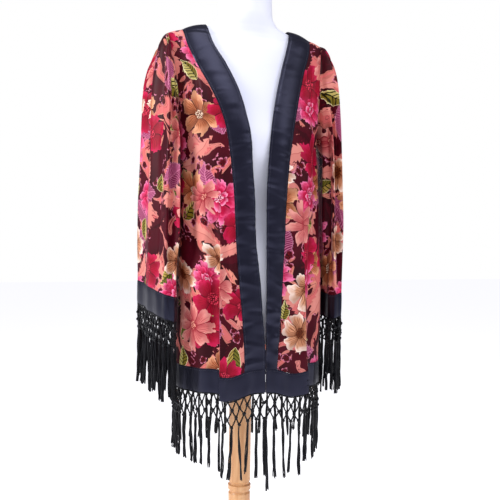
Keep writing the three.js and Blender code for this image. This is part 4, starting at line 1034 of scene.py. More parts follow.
class KIMONO_OT_dress_form(bpy.types.Operator):
    """Make the limbless dress form in its white jersey cover"""
    bl_idname = "kimono.dress_form"
    bl_label = "Dress form"

    def execute(self, context):
        heights = spread(FORM_ROWS)
        angle = np.arange(FORM_SIDES) / FORM_SIDES * 2 * math.pi
        power = 2 / at(FORM, heights, "round")[:, None]
        across, forward = (np.sign(v) * np.abs(v) ** power for v in (np.cos(angle), np.sin(angle)))
        depth = np.where(forward < 0, at(FORM, heights, "front")[:, None],
                         at(FORM, heights, "back")[:, None])
        half = at(FORM, heights, "side")[:, None]
        starts, ends = (smooth(*span, heights) for span in FORM_TIGHT)
        less = (starts * (1 - ends))[:, None] * FORM_UNDER_CLOTH
        x, y = across * (half - less), forward * (depth - less)
        z = heights[:, None] * np.ones_like(x) - less * 0.6
        rings = np.stack([x, y, z], axis=-1)
        points = np.concatenate([rings.reshape(-1, 3), FORM_ENDS]) * MM
        count, top = len(heights) * FORM_SIDES, (len(heights) - 1) * FORM_SIDES
        faces = ring_faces(len(heights), FORM_SIDES)
        for c in range(FORM_SIDES):
            beside = (c + 1) % FORM_SIDES
            faces += [(count, beside, c), (count + 1, top + c, top + beside)]
        made = mesh_object("dress_form_jersey", points, faces,
                           finish_material("white_cotton_jersey", jersey_surface), sharp=60)
        settle(made, "form_jersey", "dress_form")
        return {"FINISHED"}


POLE_RADIUS = 25
BASE_RADIUS = 165
POLE = [(21, 28.3), (30, 28.3), (31, 34), (31, 40), (28, 46), (POLE_RADIUS, 54),
        (POLE_RADIUS, 362), (22.4, 365), (22, 367), (22.6, 369), (26, 371), (26, 381),
        (22.6, 383), (22, 385), (22.4, 387), (POLE_RADIUS, 390), (POLE_RADIUS, 688), (28, 696),
        (33, 700), (34, 704), (34, 714.5)]
BASE = [(161, 0), (164.4, 1.6), (BASE_RADIUS, 4), (BASE_RADIUS, 13), (163, 16), (158, 19),
        (120, 23), (60, 27), (46, 28)]
POLE_SIDES = 64


def turned_object(name, profile, material):
    """A solid of revolution about the pole's axis from a profile of radius and height."""
    angle = np.arange(POLE_SIDES) / POLE_SIDES * 2 * math.pi
    ring = np.stack([np.cos(angle), np.sin(angle)], axis=-1)
    points = np.array([(x * radius, y * radius, z) for radius, z in profile for x, y in ring])
    top = (len(profile) - 1) * POLE_SIDES
    faces = [*ring_faces(len(profile), POLE_SIDES), tuple(range(POLE_SIDES))[::-1],
             tuple(range(top, top + POLE_SIDES))]
    return mesh_object(name, points * MM, faces, material, sharp=40)


class KIMONO_OT_stand(bpy.types.Operator):
    """Turn the wooden pole and its round base"""
    bl_idname = "kimono.stand"
    bl_label = "Stand"

    def execute(self, context):
        wood = finish_material("varnished_beech", wood_surface)
        settle(turned_object("beech_pole", POLE, wood), "stand_wood", "stand_pole")
        settle(turned_object("beech_base", BASE, wood), "stand_wood", "stand_base")
        return {"FINISHED"}


# Print panels

# Where each piece is cut from the length of print, in metres
PRINT_START = {-1: -0.31, 1: 0.52}
SLEEVE_PRINT_START = 1.7


def print_piece(node, grid, heart, uv, wrap=False):
    """Hangs one piece of print cloth in place of a node."""
    cloth = finish_material("printed_velvet", print_cloth_surface)
    thick = bpy.context.scene.kimono_sizes.cloth / MM
    return settle(shell(f"{node}_print", grid, thick, cloth, heart, wrap=wrap, uv=uv),
                  "printed_cloth", node)


class KIMONO_OT_fronts(bpy.types.Operator):
    """Hang the two front panels of print cloth"""
    bl_idname = "kimono.fronts"
    bl_label = "Fronts"

    def execute(self, context):
        for sign, side in SIDES:
            parts = [("strip", STRIP_SHARES), ("fold", FOLD_SHARES), ("rest", REST_SHARES)]
            grid = grid_of(sign, BODY_ROWS, parts)
            uv = print_places(grid * (sign, 1, 1))
            hidden = np.zeros(grid.shape[1])
            hidden[len(STRIP_SHARES):] = PLEAT_HIDDEN
            ramp = smooth(PLEAT_TOP[sign], HEM_SEAM_Z + 150, grid[:, :1, 2])
            uv[..., 0] += hidden[None, :] * ramp
            uv[..., 0] = uv[..., 0] * sign + PRINT_START[sign]
            piece = print_piece(f"front_{side}", grid, body_heart(grid), uv)
        return {"FINISHED"}


class KIMONO_OT_back(bpy.types.Operator):
    """Hang the back panel of print cloth"""
    bl_idname = "kimono.back"
    bl_label = "Back"

    def execute(self, context):
        tops = spread([(0, 128, 28), (128, BAND_X, 6), (BAND_X, ARM_X, 8)])
        left = back_point(1, BODY_ROWS[:, None], tops[None, :])
        right = back_point(-1, BODY_ROWS[:, None], tops[None, 1:])[:, ::-1]
        grid = np.concatenate([right, left], axis=1)
        uv = print_places(grid, middle=len(tops) - 1)
        piece = print_piece("back", grid, body_heart(grid), uv)
        return {"FINISHED"}


# Sleeves

def sleeve_fold(turn, grown):
    """How far the long folds push a sleeve out or in."""
    push = 0
    for at_turn, deep, wide in SLEEVE_FOLDS:
        push = push + deep * bell((turn - at_turn + 540) % 360 - 180, wide)
    return push * grown


def sleeve_creases(turn, down):
    """How far the creases and fine waves push it, between the armhole (0) and the cuff (1)."""
    push = 0
    for turn0, down0, turn1, down1, wide, deep in SLEEVE_CREASES:
        t = (down - down0) / (down1 - down0)
        middle = mix(turn0, turn1, np.clip(t, 0, 1))
        fade = smooth(0, 0.22, t) * (1 - smooth(0.85, 1.0, t) * 0.6) * (t < 1.02)
        push = push + deep * bell((turn - middle + 540) % 360 - 180, wide) * fade
    drift = 0.7 * np.sin(down * 4.1) + 0.4 * np.sin(down * 9.0 + turn / 60)
    angle = np.radians(turn)
    waves = np.sin(7 * angle + drift) + 0.8 * np.sin(11 * angle - 1.6 * drift)
    return push * SLEEVE_CREASE_DEPTH + waves * SLEEVE_WAVE_DEPTH * smooth(0.02, 0.3, down)


def sleeve_point(sign, ring, turn, grown, down=0.0):
    """turn 0 is the sleeve's outer side, 90 its front edge and 180 its inner side."""
    angle = np.radians(turn)
    outward = np.sign(np.cos(angle)) * np.abs(np.cos(angle)) ** SLEEVE_SQUARE
    forward = np.sign(np.sin(angle)) * np.abs(np.sin(angle)) ** SLEEVE_SQUARE
    push = sleeve_fold(turn, grown)
    crease = sleeve_creases(turn, down)
    deep = ring["deep"] + (push + crease) * np.abs(forward)
    y = ring["mid"] - deep * forward
    half = (ring["out"] - ring["into"]) / 2 + (push * 0.6 + crease) * np.abs(outward)
    across = (ring["out"] + ring["into"]) / 2 + half * outward
    across = across + TOE[sign] * grown * (y - ring["mid"])
    rise = (ring["out_z"] + ring["into_z"]) / 2 + (ring["out_z"] - ring["into_z"]) / 2 * outward
    z = rise + CUFF_TILT * grown * (y - ring["mid"])
    return np.stack(np.broadcast_arrays(sign * across, y, z), axis=-1)


SLEEVE_TURNS = np.arange(0, 360, 3.0)
TURN_A_ROW = 20       # degrees round the armhole for each row of the body beside it
SLEEVE_RINGS = 10
SLEEVE_ROWS = 120


def sleeve_grid(sign):
    """Rings of the sleeve from the armhole to the cuff's seam."""
    front = np.minimum(SLEEVE_TURNS, 180) / TURN_A_ROW
    back = (360 - np.maximum(SLEEVE_TURNS, 180)) / TURN_A_ROW
    on_front = front_point(sign, front, "rest", 1.0)
    on_back = back_point(sign, np.minimum(back, UNDERARM_ROW), ARM_X)
    hole = np.where((SLEEVE_TURNS <= 180)[:, None], on_front, on_back)
    hole[:, 0] += sign * SEAM * 2
    rings = [hole]
    for i in range(SLEEVE_RINGS):
        ring = {name: column[i] for name, column in SLEEVE[sign].items()}
        grown = smooth(0, 4, i + 1)
        rings.append(sleeve_point(sign, ring, SLEEVE_TURNS, grown, (i + 1) / SLEEVE_RINGS))
    rings = np.array(rings)
    steps = np.linalg.norm(np.diff(rings, axis=0), axis=-1).mean(axis=1)
    along = np.concatenate([[0], np.cumsum(steps)])
    return through(along, rings, np.linspace(0, along[-1], SLEEVE_ROWS))


def ring_heart(grid):
    """For each point of a sleeve the middle of its ring."""
    return grid.mean(axis=1, keepdims=True) * np.ones_like(grid)


class KIMONO_OT_sleeves(bpy.types.Operator):
    """Hang the two wide sleeves of print cloth"""
    bl_idname = "kimono.sleeves"
    bl_label = "Sleeves"

    def execute(self, context):
        for sign, side in SIDES:
            grid = sleeve_grid(sign)
            uv = print_places(grid, wrap=True, middle=len(SLEEVE_TURNS) // 4)
            uv[..., 0] = SLEEVE_PRINT_START * sign - uv[..., 0] * sign
            piece = print_piece(f"sleeve_{side}", grid, ring_heart(grid), uv, wrap=True)
        return {"FINISHED"}


# Repeats made by node trees

RANDOM = "FunctionNodeRandomValue"
STORED = "GeometryNodeInputNamedAttribute"
SURFACE = "NodeSocketMaterial"


def object_from_edges(name, points, edges, numbers=None, vectors=None):
    """An object of points and edges that carries values for a node tree."""
    mesh = bpy.data.meshes.new(name)
    mesh.from_pydata((np.array(points) * MM).tolist(), edges, [])
    for label, values in (numbers or {}).items():
        made = mesh.attributes.new(label, "FLOAT", "POINT")
        made.data.foreach_set("value", np.array(values, np.float32))
    for label, values in (vectors or {}).items():
        made = mesh.attributes.new(label, "FLOAT_VECTOR", "POINT")
        made.data.foreach_set("vector", np.array(values, np.float32).ravel())
    return placed(name, mesh)


def nodes_tree(name, inputs):
    """An empty node tree that works on geometry, with its inputs and their usual values."""
    tree = bpy.data.node_groups.new(name, "GeometryNodeTree")
    tree.interface.new_socket("Geometry", in_out="INPUT", socket_type="NodeSocketGeometry")
    for label, kind, value in inputs:
        socket = tree.interface.new_socket(label, in_out="INPUT", socket_type=kind)
        if value is not None:
            socket.default_value = value
    tree.interface.new_socket("Geometry", in_out="OUTPUT", socket_type="NodeSocketGeometry")
    start = tree.nodes.new("NodeGroupInput")
    end = tree.nodes.new("NodeGroupOutput")
    return tree, start.outputs, end


def finish_growing(tree, given, end, grown):
    """The last steps of a tree: real faces, smooth, in the material that it is given."""
    solid = add(tree, "GeometryNodeRealizeInstances", {"Geometry": grown})
    solid = add(tree, "GeometryNodeSetShadeSmooth", {"Geometry": solid})
    solid = add(tree, "GeometryNodeSetMaterial",
                {"Geometry": solid, "Material": given["Material"]})
    tree.links.new(solid, end.inputs["Geometry"])
    return tree


def grown_mesh(name, carrier, tree, values):
    """Runs a node tree on an object and gives the plain mesh that comes out."""
    modifier = carrier.modifiers.new("grow", "NODES")
    modifier.node_group = tree
    ids = {s.name: s.identifier for s in tree.interface.items_tree if s.in_out == "INPUT"}
    for label, value in values.items():
        modifier[ids[label]] = value
    bpy.context.view_layer.update()
    made = bpy.data.meshes.new_from_object(
        carrier.evaluated_get(bpy.context.evaluated_depsgraph_get()))
    made.name = name
    carrier.modifiers.remove(modifier)
    bpy.data.objects.remove(carrier)
    return made


# Satin

STITCH_STEP = 0.0033
STITCH_SIZE = (0.42, 0.42, 1.25)     # half sizes of one stitch across, deep and long, in mm


def stitch_tree():
    """Lays a row of separate stitches along every line of the mesh."""
    tree, given, end = nodes_tree("stitches", [
        ("Step", NUMBER, STITCH_STEP), ("Material", SURFACE, None)])
    line = add(tree, "GeometryNodeMeshToCurve", {"Mesh": given["Geometry"]})
    points = add(tree, "GeometryNodeCurveToPoints", {"Curve": line, "Length": given["Step"]},
                 mode="LENGTH")
    thread = add(tree, "GeometryNodeMeshIcoSphere", {"Radius": MM, "Subdivisions": 1})
    size = add(tree, RANDOM,
               {0: tuple(v * 0.92 for v in STITCH_SIZE), 1: tuple(v * 1.06 for v in STITCH_SIZE),
                "Seed": 8}, out=0, data_type="FLOAT_VECTOR")
    rows = add(tree, "GeometryNodeInstanceOnPoints",
               {"Points": points, "Instance": thread, "Scale": size,
                "Rotation": points.node.outputs["Rotation"]})
    return finish_growing(tree, given, end, rows)


def stitching(name, rows):
    """Rows of machine stitches along lines of points on a band's outside."""
    points, edges = [], []
    for row in rows:
        edges += [(len(points) + k, len(points) + k + 1) for k in range(len(row) - 1)]
        points.extend(row)
    thread = finish_material("navy_sewing_thread", thread_surface)
    mesh = grown_mesh(name, object_from_edges("rows", points, edges),
                      bpy.data.node_groups.get("stitches") or stitch_tree(), {"Material": thread})
    piece = placed(name, mesh)
    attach(piece, "root")
    return piece


def pucker(along, across, strength, seed):
    """Small uneven wrinkles that run in from either seam of a band."""
    random = np.random.default_rng(seed)
    push = np.zeros(np.broadcast(along, across).shape)
    where = np.min(along)
    while where < np.max(along):
        into = np.abs(across - random.integers(2))
        slant, wide, reach = random.uniform((-16, 3.5, 0.2), (16, 9, 0.8))
        deep = random.uniform(0.3, 1) * random.choice((-1, 1))
        push = push + deep * bell(along - where - slant * into, wide) * bell(into, reach)
        where += random.uniform(4, 18)
    return strength * push


def satin_piece(node, grid, heart, uv, push, stitched, wrap=False):
    """Sews on a folded satin band in place of a node, with rows of stitches. push says how far
    the band swells out of its grid, and stitched picks the rows of its outside."""
    satin = finish_material("navy_satin", satin_surface)
    normal = grid_normals(grid, wrap, heart)
    outer = grid + normal * push[..., None]
    inner = grid - normal * (bpy.context.scene.kimono_sizes.band / MM)
    piece = shell(f"{node}_satin", outer, 0, satin, None, wrap=wrap, uv=uv, inner=inner)
    settle(piece, "satin", node)
    return piece, stitching(f"{node}_stitching", stitched(outer))


def flat_swell(height, down):
    """The swelling of a narrow band that is flat over most of its width."""
    return height * (1 - (2 * down - 1) ** 4)


STITCH_LINE = 0.09       # share of the band's width between its edge and the stitching
STITCH_DEPTH = 0.4
STITCH_WIDE = 0.025
PUCKER = {"front_band": 2.4, "hem_band": 1.5, "cuff": 1.2}     # how deep the wrinkles are
SMOOTH_ABOVE = (1270, 1050)     # the front bands' wrinkles fade to a part between these heights
LEAST_PUCKER = 0.3
BAND_SEED, CUFF_SEED = 20, 30
HEM_SWELL, CUFF_SWELL = 0.8, 0.9
BAND_SHARES = spread([(0, 0.16, 8), (0.16, 0.84, 11), (0.84, 1, 8)])
BAND_ROWS = spread([(0, 1, 3), (1, HEM_ROW, 330)])[::-1]
NECK_SHARES = np.linspace(1, 0, 44)[1:, None]     # from the shoulder to the middle of the back


class KIMONO_OT_front_bands(bpy.types.Operator):
    """Sew on the satin bands of the opening and the neck"""
    bl_idname = "kimono.front_bands"
    bl_label = "Front bands"

    def execute(self, context):
        sizes = context.scene.kimono_sizes
        shares = BAND_SHARES
        for sign, side in SIDES:
            nudge = np.where(shares == 1, -SEAM / 2, 0)[None, :]
            front = front_point(sign, BAND_ROWS[:, None], "band", shares[None, :], 0.0, nudge)
            out_x, in_x = BAND_X * NECK_SHARES, NECK_X * NECK_SHARES
            in_z = mix(BACK_NECK_IN, shoulder_z(NECK_X), NECK_SHARES**3)
            x = np.maximum(mix(in_x, out_x, shares[None, :]), SEAM / 2)
            z = mix(in_z, back_top_z(out_x), shares[None, :]) + SEAM
            back = body_point("back", sign * x, z, creased=0.0)
            grid = np.concatenate([front, back])
            uv = cut_places(grid)
            roll = sizes.roll / MM * (1 - (2 * shares[None, :] - 1) ** 2)
            lower = mix(LEAST_PUCKER, 1, smooth(*SMOOTH_ABOVE, grid[..., 2]))
            wrinkles = pucker(-uv[..., 1] / MM, shares[None, :], PUCKER["front_band"],
                              BAND_SEED + sign)
            lines = (STITCH_LINE, 1 - STITCH_LINE)
            sunk = sum(bell(shares - line, STITCH_WIDE) for line in lines)
            piece, sewn = satin_piece(
                f"front_band_{side}", grid, body_heart(grid), uv,
                roll + wrinkles * lower - sunk * STITCH_DEPTH,
                lambda outer: [outer[:, np.argmin(np.abs(shares - line))] for line in lines])
        return {"FINISHED"}


class KIMONO_OT_hem_bands(bpy.types.Operator):
    """Sew on the satin band round the hem"""
    bl_idname = "kimono.hem_bands"
    bl_label = "Hem bands"

    def execute(self, context):
        falls = -np.linspace(0, HEM_SEAM_Z - HEM_Z, 14)[:, None] - SEAM
        row = np.full_like(falls, HEM_ROW)
        bands = []
        for sign, side in SIDES:
            parts = [("band", spread([(0, 1, 10)])), ("strip", STRIP_SHARES[1:]),
                     ("fold", FOLD_SHARES), ("rest", REST_SHARES)]
            columns = [front_point(sign, row, part, shares[None, :], falls)
                       for part, shares in parts]
            bands.append((side, np.concatenate(columns, axis=1), (0.27, 0.05)))
        tops = spread([(0, ARM_X, 48)])
        left = back_point(1, row, tops[None, :], falls)
        right = back_point(-1, row, tops[None, 1:], falls)[:, ::-1]
        bands.append(("back", np.concatenate([right, left], axis=1), (0.5, 0.05)))
        for side, grid, flat in bands:
            uv = cut_places(grid)
            down = np.linspace(0, 1, len(grid))[:, None]
            wrinkles = pucker(uv[..., 0] / MM, down, PUCKER["hem_band"], len(grid[0]))
            piece, sewn = satin_piece(f"hem_band_{side}", grid, body_heart(grid), uv,
                                      flat_swell(HEM_SWELL, down) + wrinkles,
                                      lambda outer: [outer[1]])
        return {"FINISHED"}


def cuff_grid(sign, falls, turns=SLEEVE_TURNS):
    """Rings of a cuff at some distances below the sleeve's last ring."""
    last = {name: column[-1] for name, column in SLEEVE[sign].items()}
    rings = []
    for fall in falls:
        ring = dict(last, out_z=last["out_z"] - fall, into_z=last["into_z"] - fall)
        rings.append(sleeve_point(sign, ring, turns, 1.0, 1.0))
    return np.array(rings)


class KIMONO_OT_cuffs(bpy.types.Operator):
    """Sew on the satin cuffs"""
    bl_idname = "kimono.cuffs"
    bl_label = "Cuffs"

    def execute(self, context):
        for sign, side in SIDES:
            grid = cuff_grid(sign, np.linspace(SEAM, CUFF_DEPTH, 16))
            uv = cut_places(grid, wrap=True)
            down = np.linspace(0, 1, len(grid))[:, None]
            wrinkles = pucker(uv[:, :-1, 0] / MM, down, PUCKER["cuff"], CUFF_SEED + sign)
            piece, sewn = satin_piece(f"cuff_{side}", grid, ring_heart(grid), uv,
                                      flat_swell(CUFF_SWELL, down) + wrinkles,
                                      lambda outer: [outer[1]], wrap=True)
        return {"FINISHED"}


# Fringe

FRINGE_OPENING = 182   # whole length of the fringe beside the opening
FRINGE_SIDE = 142
FRINGE_BACK = 162
CUFF_FRINGE = 172
CUFF_CLOSER = 0.78     # the cuff's tassels hang closer together
NET_ROW = 17           # depth of one row of the net
NET_ROWS = 3
BRAID = 4              # height of the header braid
HEADER_STEP = 3        # between two points of the header braid
HEADER_INSIDE = 1.2    # how far the braid lies inside the band's face
LEG_SLACK = 1.6        # how far a leg of the net sags
END_SPREAD = 17        # how much the tassels' ends differ in height
SWAY = 5               # how far a tassel's end hangs from straight below its knot
KNOT_LOOSE = 0.8       # how uneven the knots' places are, then how far along, out and down
KNOT_JITTER = (2.2, 2.0, 2.0)
KNOT_INSIDE = 1.4      # how far they lie inside the band's face
EDGE_REACH = 9         # half the length of edge that the outward direction is taken from
HEM_FRINGE_SEED, CUFF_FRINGE_SEED = 41, 160
LONGEST = {-1: 0, 1: 24}     # the first tassels at the opening hang lower on the left front
LONGEST_SHARE = 0.09         # how far along the front they get shorter
EDGE_STEPS = 60
HEM_START = 1.6        # from the front band's edge to the hem's fringe
FOLD_SOFTNESS = 3.0    # the braid rounds off the pleat's sharp fold
CUFF_HALVES = ((-83, "outer"), (97, "inner"))     # where each half starts, in degrees
CUFF_SPAN = 166


class Edge:
    """A path along a lower edge, with the outward direction at each place."""

    def __init__(self, points, heart):
        self.points = points
        steps = np.hypot(*np.diff(points[:, :2], axis=0).T)
        self.lengths = np.concatenate([[0], np.cumsum(steps)])
        self.length = self.lengths[-1]
        self.heart = heart

    def place(self, along):
        return np.array([np.interp(along, self.lengths, self.points[:, k]) for k in range(3)])

    def outward(self, along):
        run = self.place(along + EDGE_REACH) - self.place(along - EDGE_REACH)
        normal = np.array([run[1], -run[0], 0])
        normal /= np.linalg.norm(normal)
        away = self.place(along)[:2] - self.heart[:2]
        return normal if normal[:2] @ away > 0 else -normal


def tassel_tree():
    """Hangs a bundle of yarns from every point, as long as the point's own drop."""
    tree, given, end = nodes_tree("tassels", [
        ("Yarns", "NodeSocketInt", 7), ("Yarn radius", NUMBER, 0.0008),
        ("Bundle", NUMBER, 0.0026), ("Wave", NUMBER, 0.004),
        ("Seed", "NodeSocketInt", 3), ("Material", SURFACE, None)])
    copies = add(tree, "GeometryNodeDuplicateElements",
                 {"Geometry": given["Geometry"], "Amount": given["Yarns"]}, domain="POINT")
    turn = add(tree, RANDOM, {2: 0.0, 3: math.tau, "Seed": given["Seed"]}, out=1,
               data_type="FLOAT")
    away = add(tree, RANDOM, {2: 0.25, 3: 1.0, "Seed": 11}, out=1, data_type="FLOAT")
    away = add(tree, MATH, (away, given["Bundle"]), "MULTIPLY")
    cosine = add(tree, MATH, (turn,), "COSINE")
    sine = add(tree, MATH, (turn,), "SINE")
    x = add(tree, MATH, (cosine, away), "MULTIPLY")
    y = add(tree, MATH, (sine, away), "MULTIPLY")
    around = add(tree, "ShaderNodeCombineXYZ", (x, y, 0.0))
    around = add(tree, "GeometryNodeStoreNamedAttribute",
                 {"Geometry": copies, "Name": "around", "Value": around},
                 data_type="FLOAT_VECTOR", domain="POINT")
    # One yarn hangs from each copy, trimmed to a length of its own
    line = add(tree, "GeometryNodeCurvePrimitiveLine", {"Start": (0, 0, 0), "End": (0, 0, -1)})
    line = add(tree, "GeometryNodeResampleCurve", {"Curve": line, "Count": 13})
    drop = add(tree, STORED, {"Name": "drop"}, data_type="FLOAT")
    trim = add(tree, RANDOM, {2: 0.95, 3: 1.0, "Seed": 23}, out=1, data_type="FLOAT")
    drop = add(tree, MATH, (drop, trim), "MULTIPLY")
    size = add(tree, "ShaderNodeCombineXYZ", (1.0, 1.0, drop))
    hung = add(tree, "GeometryNodeInstanceOnPoints",
               {"Points": around, "Instance": line, "Scale": size})
    hung = add(tree, "GeometryNodeRealizeInstances", {"Geometry": hung})
    # The bundle is tied at the top, opens below and twists a little
    share = add(tree, "GeometryNodeSplineParameter")
    opened = add(tree, RANGE, (share, 0.0, 0.12, 0.35, 1.0))
    spreading = add(tree, MATH, (share, 0.2, opened), "MULTIPLY_ADD")
    bundle = add(tree, STORED, {"Name": "around"}, data_type="FLOAT_VECTOR")
    spin = add(tree, MATH, (share, 5.0), "MULTIPLY")
    bundle = add(tree, "ShaderNodeVectorRotate", {"Vector": bundle, "Angle": spin},
                 rotation_type="Z_AXIS")
    bundle = add(tree, VECTOR, {0: bundle, 3: spreading}, "SCALE")
    sway = add(tree, STORED, {"Name": "sway"}, data_type="FLOAT_VECTOR")
    bow = add(tree, MATH, (share, 1.6), "POWER")
    sway = add(tree, VECTOR, {0: sway, 3: bow}, "SCALE")
    # Every yarn wavers in its own way
    place = add(tree, "GeometryNodeInputPosition")
    which = add(tree, STORED, {"Name": "around"}, data_type="FLOAT_VECTOR")
    place = add(tree, VECTOR, (which, (700.0, 700.0, 700.0), place), "MULTIPLY_ADD")
    wobble = add(tree, NOISE, {"Vector": place, "Scale": 14.0, "Detail": 1.0}, out="Color")
    wobble = add(tree, VECTOR, (wobble, (0.5, 0.5, 0.5)), "SUBTRACT")
    much = add(tree, MATH, (share, given["Wave"]), "MULTIPLY")
    much = add(tree, MATH, (much, 2.0), "MULTIPLY")
    wobble = add(tree, VECTOR, {0: wobble, 3: much}, "SCALE")
    shift = add(tree, VECTOR, (bundle, sway), "ADD")
    shift = add(tree, VECTOR, (shift, wobble), "ADD")
    moved = add(tree, "GeometryNodeSetPosition", {"Geometry": hung, "Offset": shift})
    round_yarn = add(tree, "GeometryNodeCurvePrimitiveCircle",
                     {"Resolution": 5, "Radius": given["Yarn radius"]}, mode="RADIUS")
    solid = add(tree, "GeometryNodeCurveToMesh",
                {"Curve": moved, "Profile Curve": round_yarn, "Fill Caps": True})
    return finish_growing(tree, given, end, solid)


def cord_tree():
    """Turns the edges of the net into two-ply twisted cords with a knot on every crossing."""
    tree, given, end = nodes_tree("net cords", [
        ("Cord radius", NUMBER, 0.0017), ("Knot radius", NUMBER, 0.0042),
        ("Material", SURFACE, None)])
    curve = add(tree, "GeometryNodeMeshToCurve", {"Mesh": given["Geometry"]})
    curve = add(tree, "GeometryNodeResampleCurve", {"Curve": curve, "Length": 0.0016},
                mode="LENGTH")
    run = add(tree, "GeometryNodeSplineParameter", out="Length")
    twist = add(tree, MATH, (run, 1050.0), "MULTIPLY")
    curve = add(tree, "GeometryNodeSetCurveTilt", {"Curve": curve, "Tilt": twist})
    ply = add(tree, "GeometryNodeCurvePrimitiveCircle",
              {"Resolution": 6, "Radius": given["Cord radius"]}, mode="RADIUS")
    place = add(tree, "GeometryNodeInputPosition")
    flat = add(tree, VECTOR, (place, (1.25, 0.72, 1.0)), "MULTIPLY")
    ply = add(tree, "GeometryNodeSetPosition", {"Geometry": ply, "Position": flat})
    cords = add(tree, "GeometryNodeCurveToMesh",
                {"Curve": curve, "Profile Curve": ply, "Fill Caps": True})
    knot = add(tree, STORED, {"Name": "knot"}, data_type="FLOAT")
    on_knot = add(tree, MATH, (knot, 0.5), "GREATER_THAN")
    ball = add(tree, "GeometryNodeMeshIcoSphere",
               {"Radius": given["Knot radius"], "Subdivisions": 2})
    turned = add(tree, RANDOM, {0: (0, 0, 0), 1: (6.28, 6.28, 6.28), "Seed": 5},
                 out=0, data_type="FLOAT_VECTOR")
    size = add(tree, RANDOM,
               {0: (0.8, 0.75, 0.9), 1: (1.05, 1.0, 1.3), "Seed": 9}, out=0,
               data_type="FLOAT_VECTOR")
    balls = add(tree, "GeometryNodeInstanceOnPoints",
                {"Points": given["Geometry"], "Selection": on_knot, "Instance": ball,
                 "Rotation": turned, "Scale": size})
    joined = add(tree, "GeometryNodeJoinGeometry", {"Geometry": cords})
    tree.links.new(balls, joined.node.inputs["Geometry"])
    return finish_growing(tree, given, end, joined)


def net_and_tassels(edge, drop_at, seed, gap):
    """Knots, cords and tassel roots of one stretch of fringe, as lists of points."""
    random = np.random.default_rng(seed)
    count = max(3, round(edge.length / gap))
    step = edge.length / count
    knots, legs, roots = [], [], []

    def knot(along, down, loose, tied=1.0):
        aside, out, lower = random.uniform(-1, 1, 3) * loose * KNOT_JITTER
        place = edge.place(along + aside)
        place = place + edge.outward(along) * (out - KNOT_INSIDE)
        place[2] -= down + lower
        knots.append((place, tied))
        return len(knots) - 1

    tops = [knot((i + 0.5) * step, 0.5, 0, 0.0) for i in range(count)]
    above = tops
    for row in range(1, NET_ROWS + 1):
        down = BRAID + NET_ROW * row
        if row % 2:
            here = [knot(i * step, down, KNOT_LOOSE) for i in range(count + 1)]
            for i in range(count):
                legs.append((above[i], here[i]))
                legs.append((above[i], here[i + 1]))
        else:
            here = [knot((i + 0.5) * step, down, KNOT_LOOSE) for i in range(count)]
            for i in range(count):
                legs.append((above[i], here[i]))
                legs.append((above[i + 1], here[i]))
        above = here
    for i, index in enumerate(above):
        place = knots[index][0]
        share = i / (len(above) - 1)
        length = drop_at(share) - BRAID - NET_ROW * NET_ROWS
        length += (random.random() - 0.5) * END_SPREAD
        sway = random.uniform(-1, 1, 3) * (SWAY, SWAY, 0)
        roots.append((place, length, sway))
    return knots, legs, roots


def fringe_piece(name, edge, drop_at, seed, closer=1.0):
    """One stretch of fringe: header braid, net and tassels in one object."""
    sizes = bpy.context.scene.kimono_sizes
    silk = finish_material("black_viscose_cord", cord_surface)
    knots, legs, roots = net_and_tassels(edge, drop_at, seed, sizes.tassel_gap / MM * closer)
    # Each leg is a curve of its own, a little slack
    points, edges, tied = [], [], []
    for a, b in legs:
        start, finish = knots[a][0], knots[b][0]
        base = len(points)
        for share in (0, 0.25, 0.5, 0.75, 1):
            point = mix(start, finish, share)
            point[2] -= LEG_SLACK * math.sin(share * math.pi)
            points.append(point)
            tied.append(0.0)
        edges += [(base + k, base + k + 1) for k in range(4)]
    points += [place for place, knotted in knots]
    tied += [knotted for place, knotted in knots]
    header = np.arange(0, edge.length, HEADER_STEP)
    edges += [(len(points) + k, len(points) + k + 1) for k in range(len(header) - 1)]
    for along in header:
        points.append(edge.place(along) - edge.outward(along) * HEADER_INSIDE
                      - (0, 0, BRAID / 2))
        tied.append(0.0)
    net = object_from_edges("net", points, edges, {"knot": tied})
    trees = bpy.data.node_groups
    cords = grown_mesh("cords", net, trees.get("net cords") or cord_tree(), {"Material": silk})
    holder = object_from_edges("roots", [r[0] for r in roots], [],
                               {"drop": [r[1] * MM for r in roots]},
                               {"sway": [np.array(r[2]) * MM for r in roots]})
    tassels = grown_mesh("tassels", holder, trees.get("tassels") or tassel_tree(), {
        "Material": silk, "Yarns": sizes.yarns, "Yarn radius": sizes.yarn / 2, "Seed": seed})
    parts = [placed(name, mesh) for mesh in (cords, tassels)]
    with bpy.context.temp_override(active_object=parts[0], selected_editable_objects=parts,
                                   selected_objects=parts, object=parts[0]):
        bpy.ops.object.join()
    return parts[0]


def mix_drop(low, high, longer=0):
    """How long the fringe is along its edge. longer is added at the very start."""
    return lambda share: mix(low, high, share) + longer * bell(share, LONGEST_SHARE)


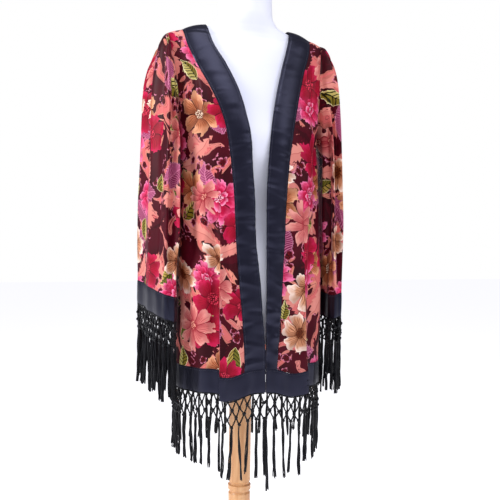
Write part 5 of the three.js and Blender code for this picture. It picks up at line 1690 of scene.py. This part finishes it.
class KIMONO_OT_hem_fringe(bpy.types.Operator):
    """Hang the knotted fringe under the hem"""
    bl_idname = "kimono.hem_fringe"
    bl_label = "Hem fringe"

    def execute(self, context):
        stretches = []
        for sign, side in SIDES:
            start = (at(front_table(sign), HEM_Z, "edge") + HEM_START) / side_x(sign, HEM_Z)
            turn = np.linspace(math.asin(start), math.pi / 2, EDGE_STEPS)
            x = sign * side_x(sign, HEM_Z) * np.sin(turn)
            points = body_point("front", x, np.full_like(x, HEM_Z), FOLD_SOFTNESS)
            stretches.append((side, points, mix_drop(FRINGE_OPENING, FRINGE_SIDE, LONGEST[sign])))
        turn = np.linspace(-math.pi / 2, math.pi / 2, 2 * EDGE_STEPS)
        x = np.where(turn < 0, side_x(-1, HEM_Z), side_x(1, HEM_Z)) * np.sin(turn)
        points = body_point("back", x, np.full_like(x, HEM_Z))
        stretches.append(("back", points, lambda share: mix(
            FRINGE_SIDE, FRINGE_BACK, math.sin(share * math.pi))))
        for i, (side, points, drop) in enumerate(stretches):
            edge = Edge(points, np.zeros(3))
            piece = fringe_piece(f"hem_fringe_{side}_cords", edge, drop, HEM_FRINGE_SEED + i)
            settle(piece, "silk_fringe", f"hem_fringe_{side}")
        return {"FINISHED"}


class KIMONO_OT_cuff_fringe(bpy.types.Operator):
    """Hang the knotted fringe under the cuffs"""
    bl_idname = "kimono.cuff_fringe"
    bl_label = "Cuff fringe"

    def execute(self, context):
        for sign, side in SIDES:
            for start, half in CUFF_HALVES:
                turns = (np.linspace(start, start + CUFF_SPAN, EDGE_STEPS) + 360) % 360
                points = cuff_grid(sign, [CUFF_DEPTH], turns)[0]
                edge = Edge(points, cuff_grid(sign, [CUFF_DEPTH])[0].mean(axis=0))
                name = f"cuff_fringe_{side}_{half}"
                piece = fringe_piece(f"{name}_cords", edge, mix_drop(CUFF_FRINGE, CUFF_FRINGE),
                                     CUFF_FRINGE_SEED + start + sign, CUFF_CLOSER)
                settle(piece, "silk_fringe", name)
        return {"FINISHED"}


class KIMONO_PT_panel(bpy.types.Panel):
    """Lists the pieces"""
    bl_idname = "KIMONO_PT_panel"
    bl_label = "Kimono jacket"
    bl_space_type = "VIEW_3D"
    bl_region_type = "UI"
    bl_category = "Kimono"

    def draw(self, context):
        for group in (context.scene.kimono_sizes, context.scene.kimono_camera):
            for name in group.bl_rna.properties.keys():
                if name not in ("rna_type", "name"):
                    self.layout.prop(group, name)
        for step in STEPS:
            self.layout.operator(step.bl_idname)


STEPS = (KIMONO_OT_stage, KIMONO_OT_stand, KIMONO_OT_dress_form, KIMONO_OT_back,
         KIMONO_OT_fronts, KIMONO_OT_sleeves, KIMONO_OT_front_bands, KIMONO_OT_hem_bands,
         KIMONO_OT_cuffs, KIMONO_OT_hem_fringe, KIMONO_OT_cuff_fringe)
CLASSES = (KimonoSizes, KimonoCamera, *STEPS, KIMONO_PT_panel)


def register():
    for made in CLASSES:
        bpy.utils.register_class(made)
    bpy.types.Scene.kimono_sizes = PointerProperty(type=KimonoSizes)
    bpy.types.Scene.kimono_camera = PointerProperty(type=KimonoCamera)


def unregister():
    del bpy.types.Scene.kimono_camera
    del bpy.types.Scene.kimono_sizes
    for made in reversed(CLASSES):
        bpy.utils.unregister_class(made)


def main():
    register()
    for step in STEPS:
        group, name = step.bl_idname.split(".")
        getattr(getattr(bpy.ops, group), name)()


if __name__ == "__main__":
    main()
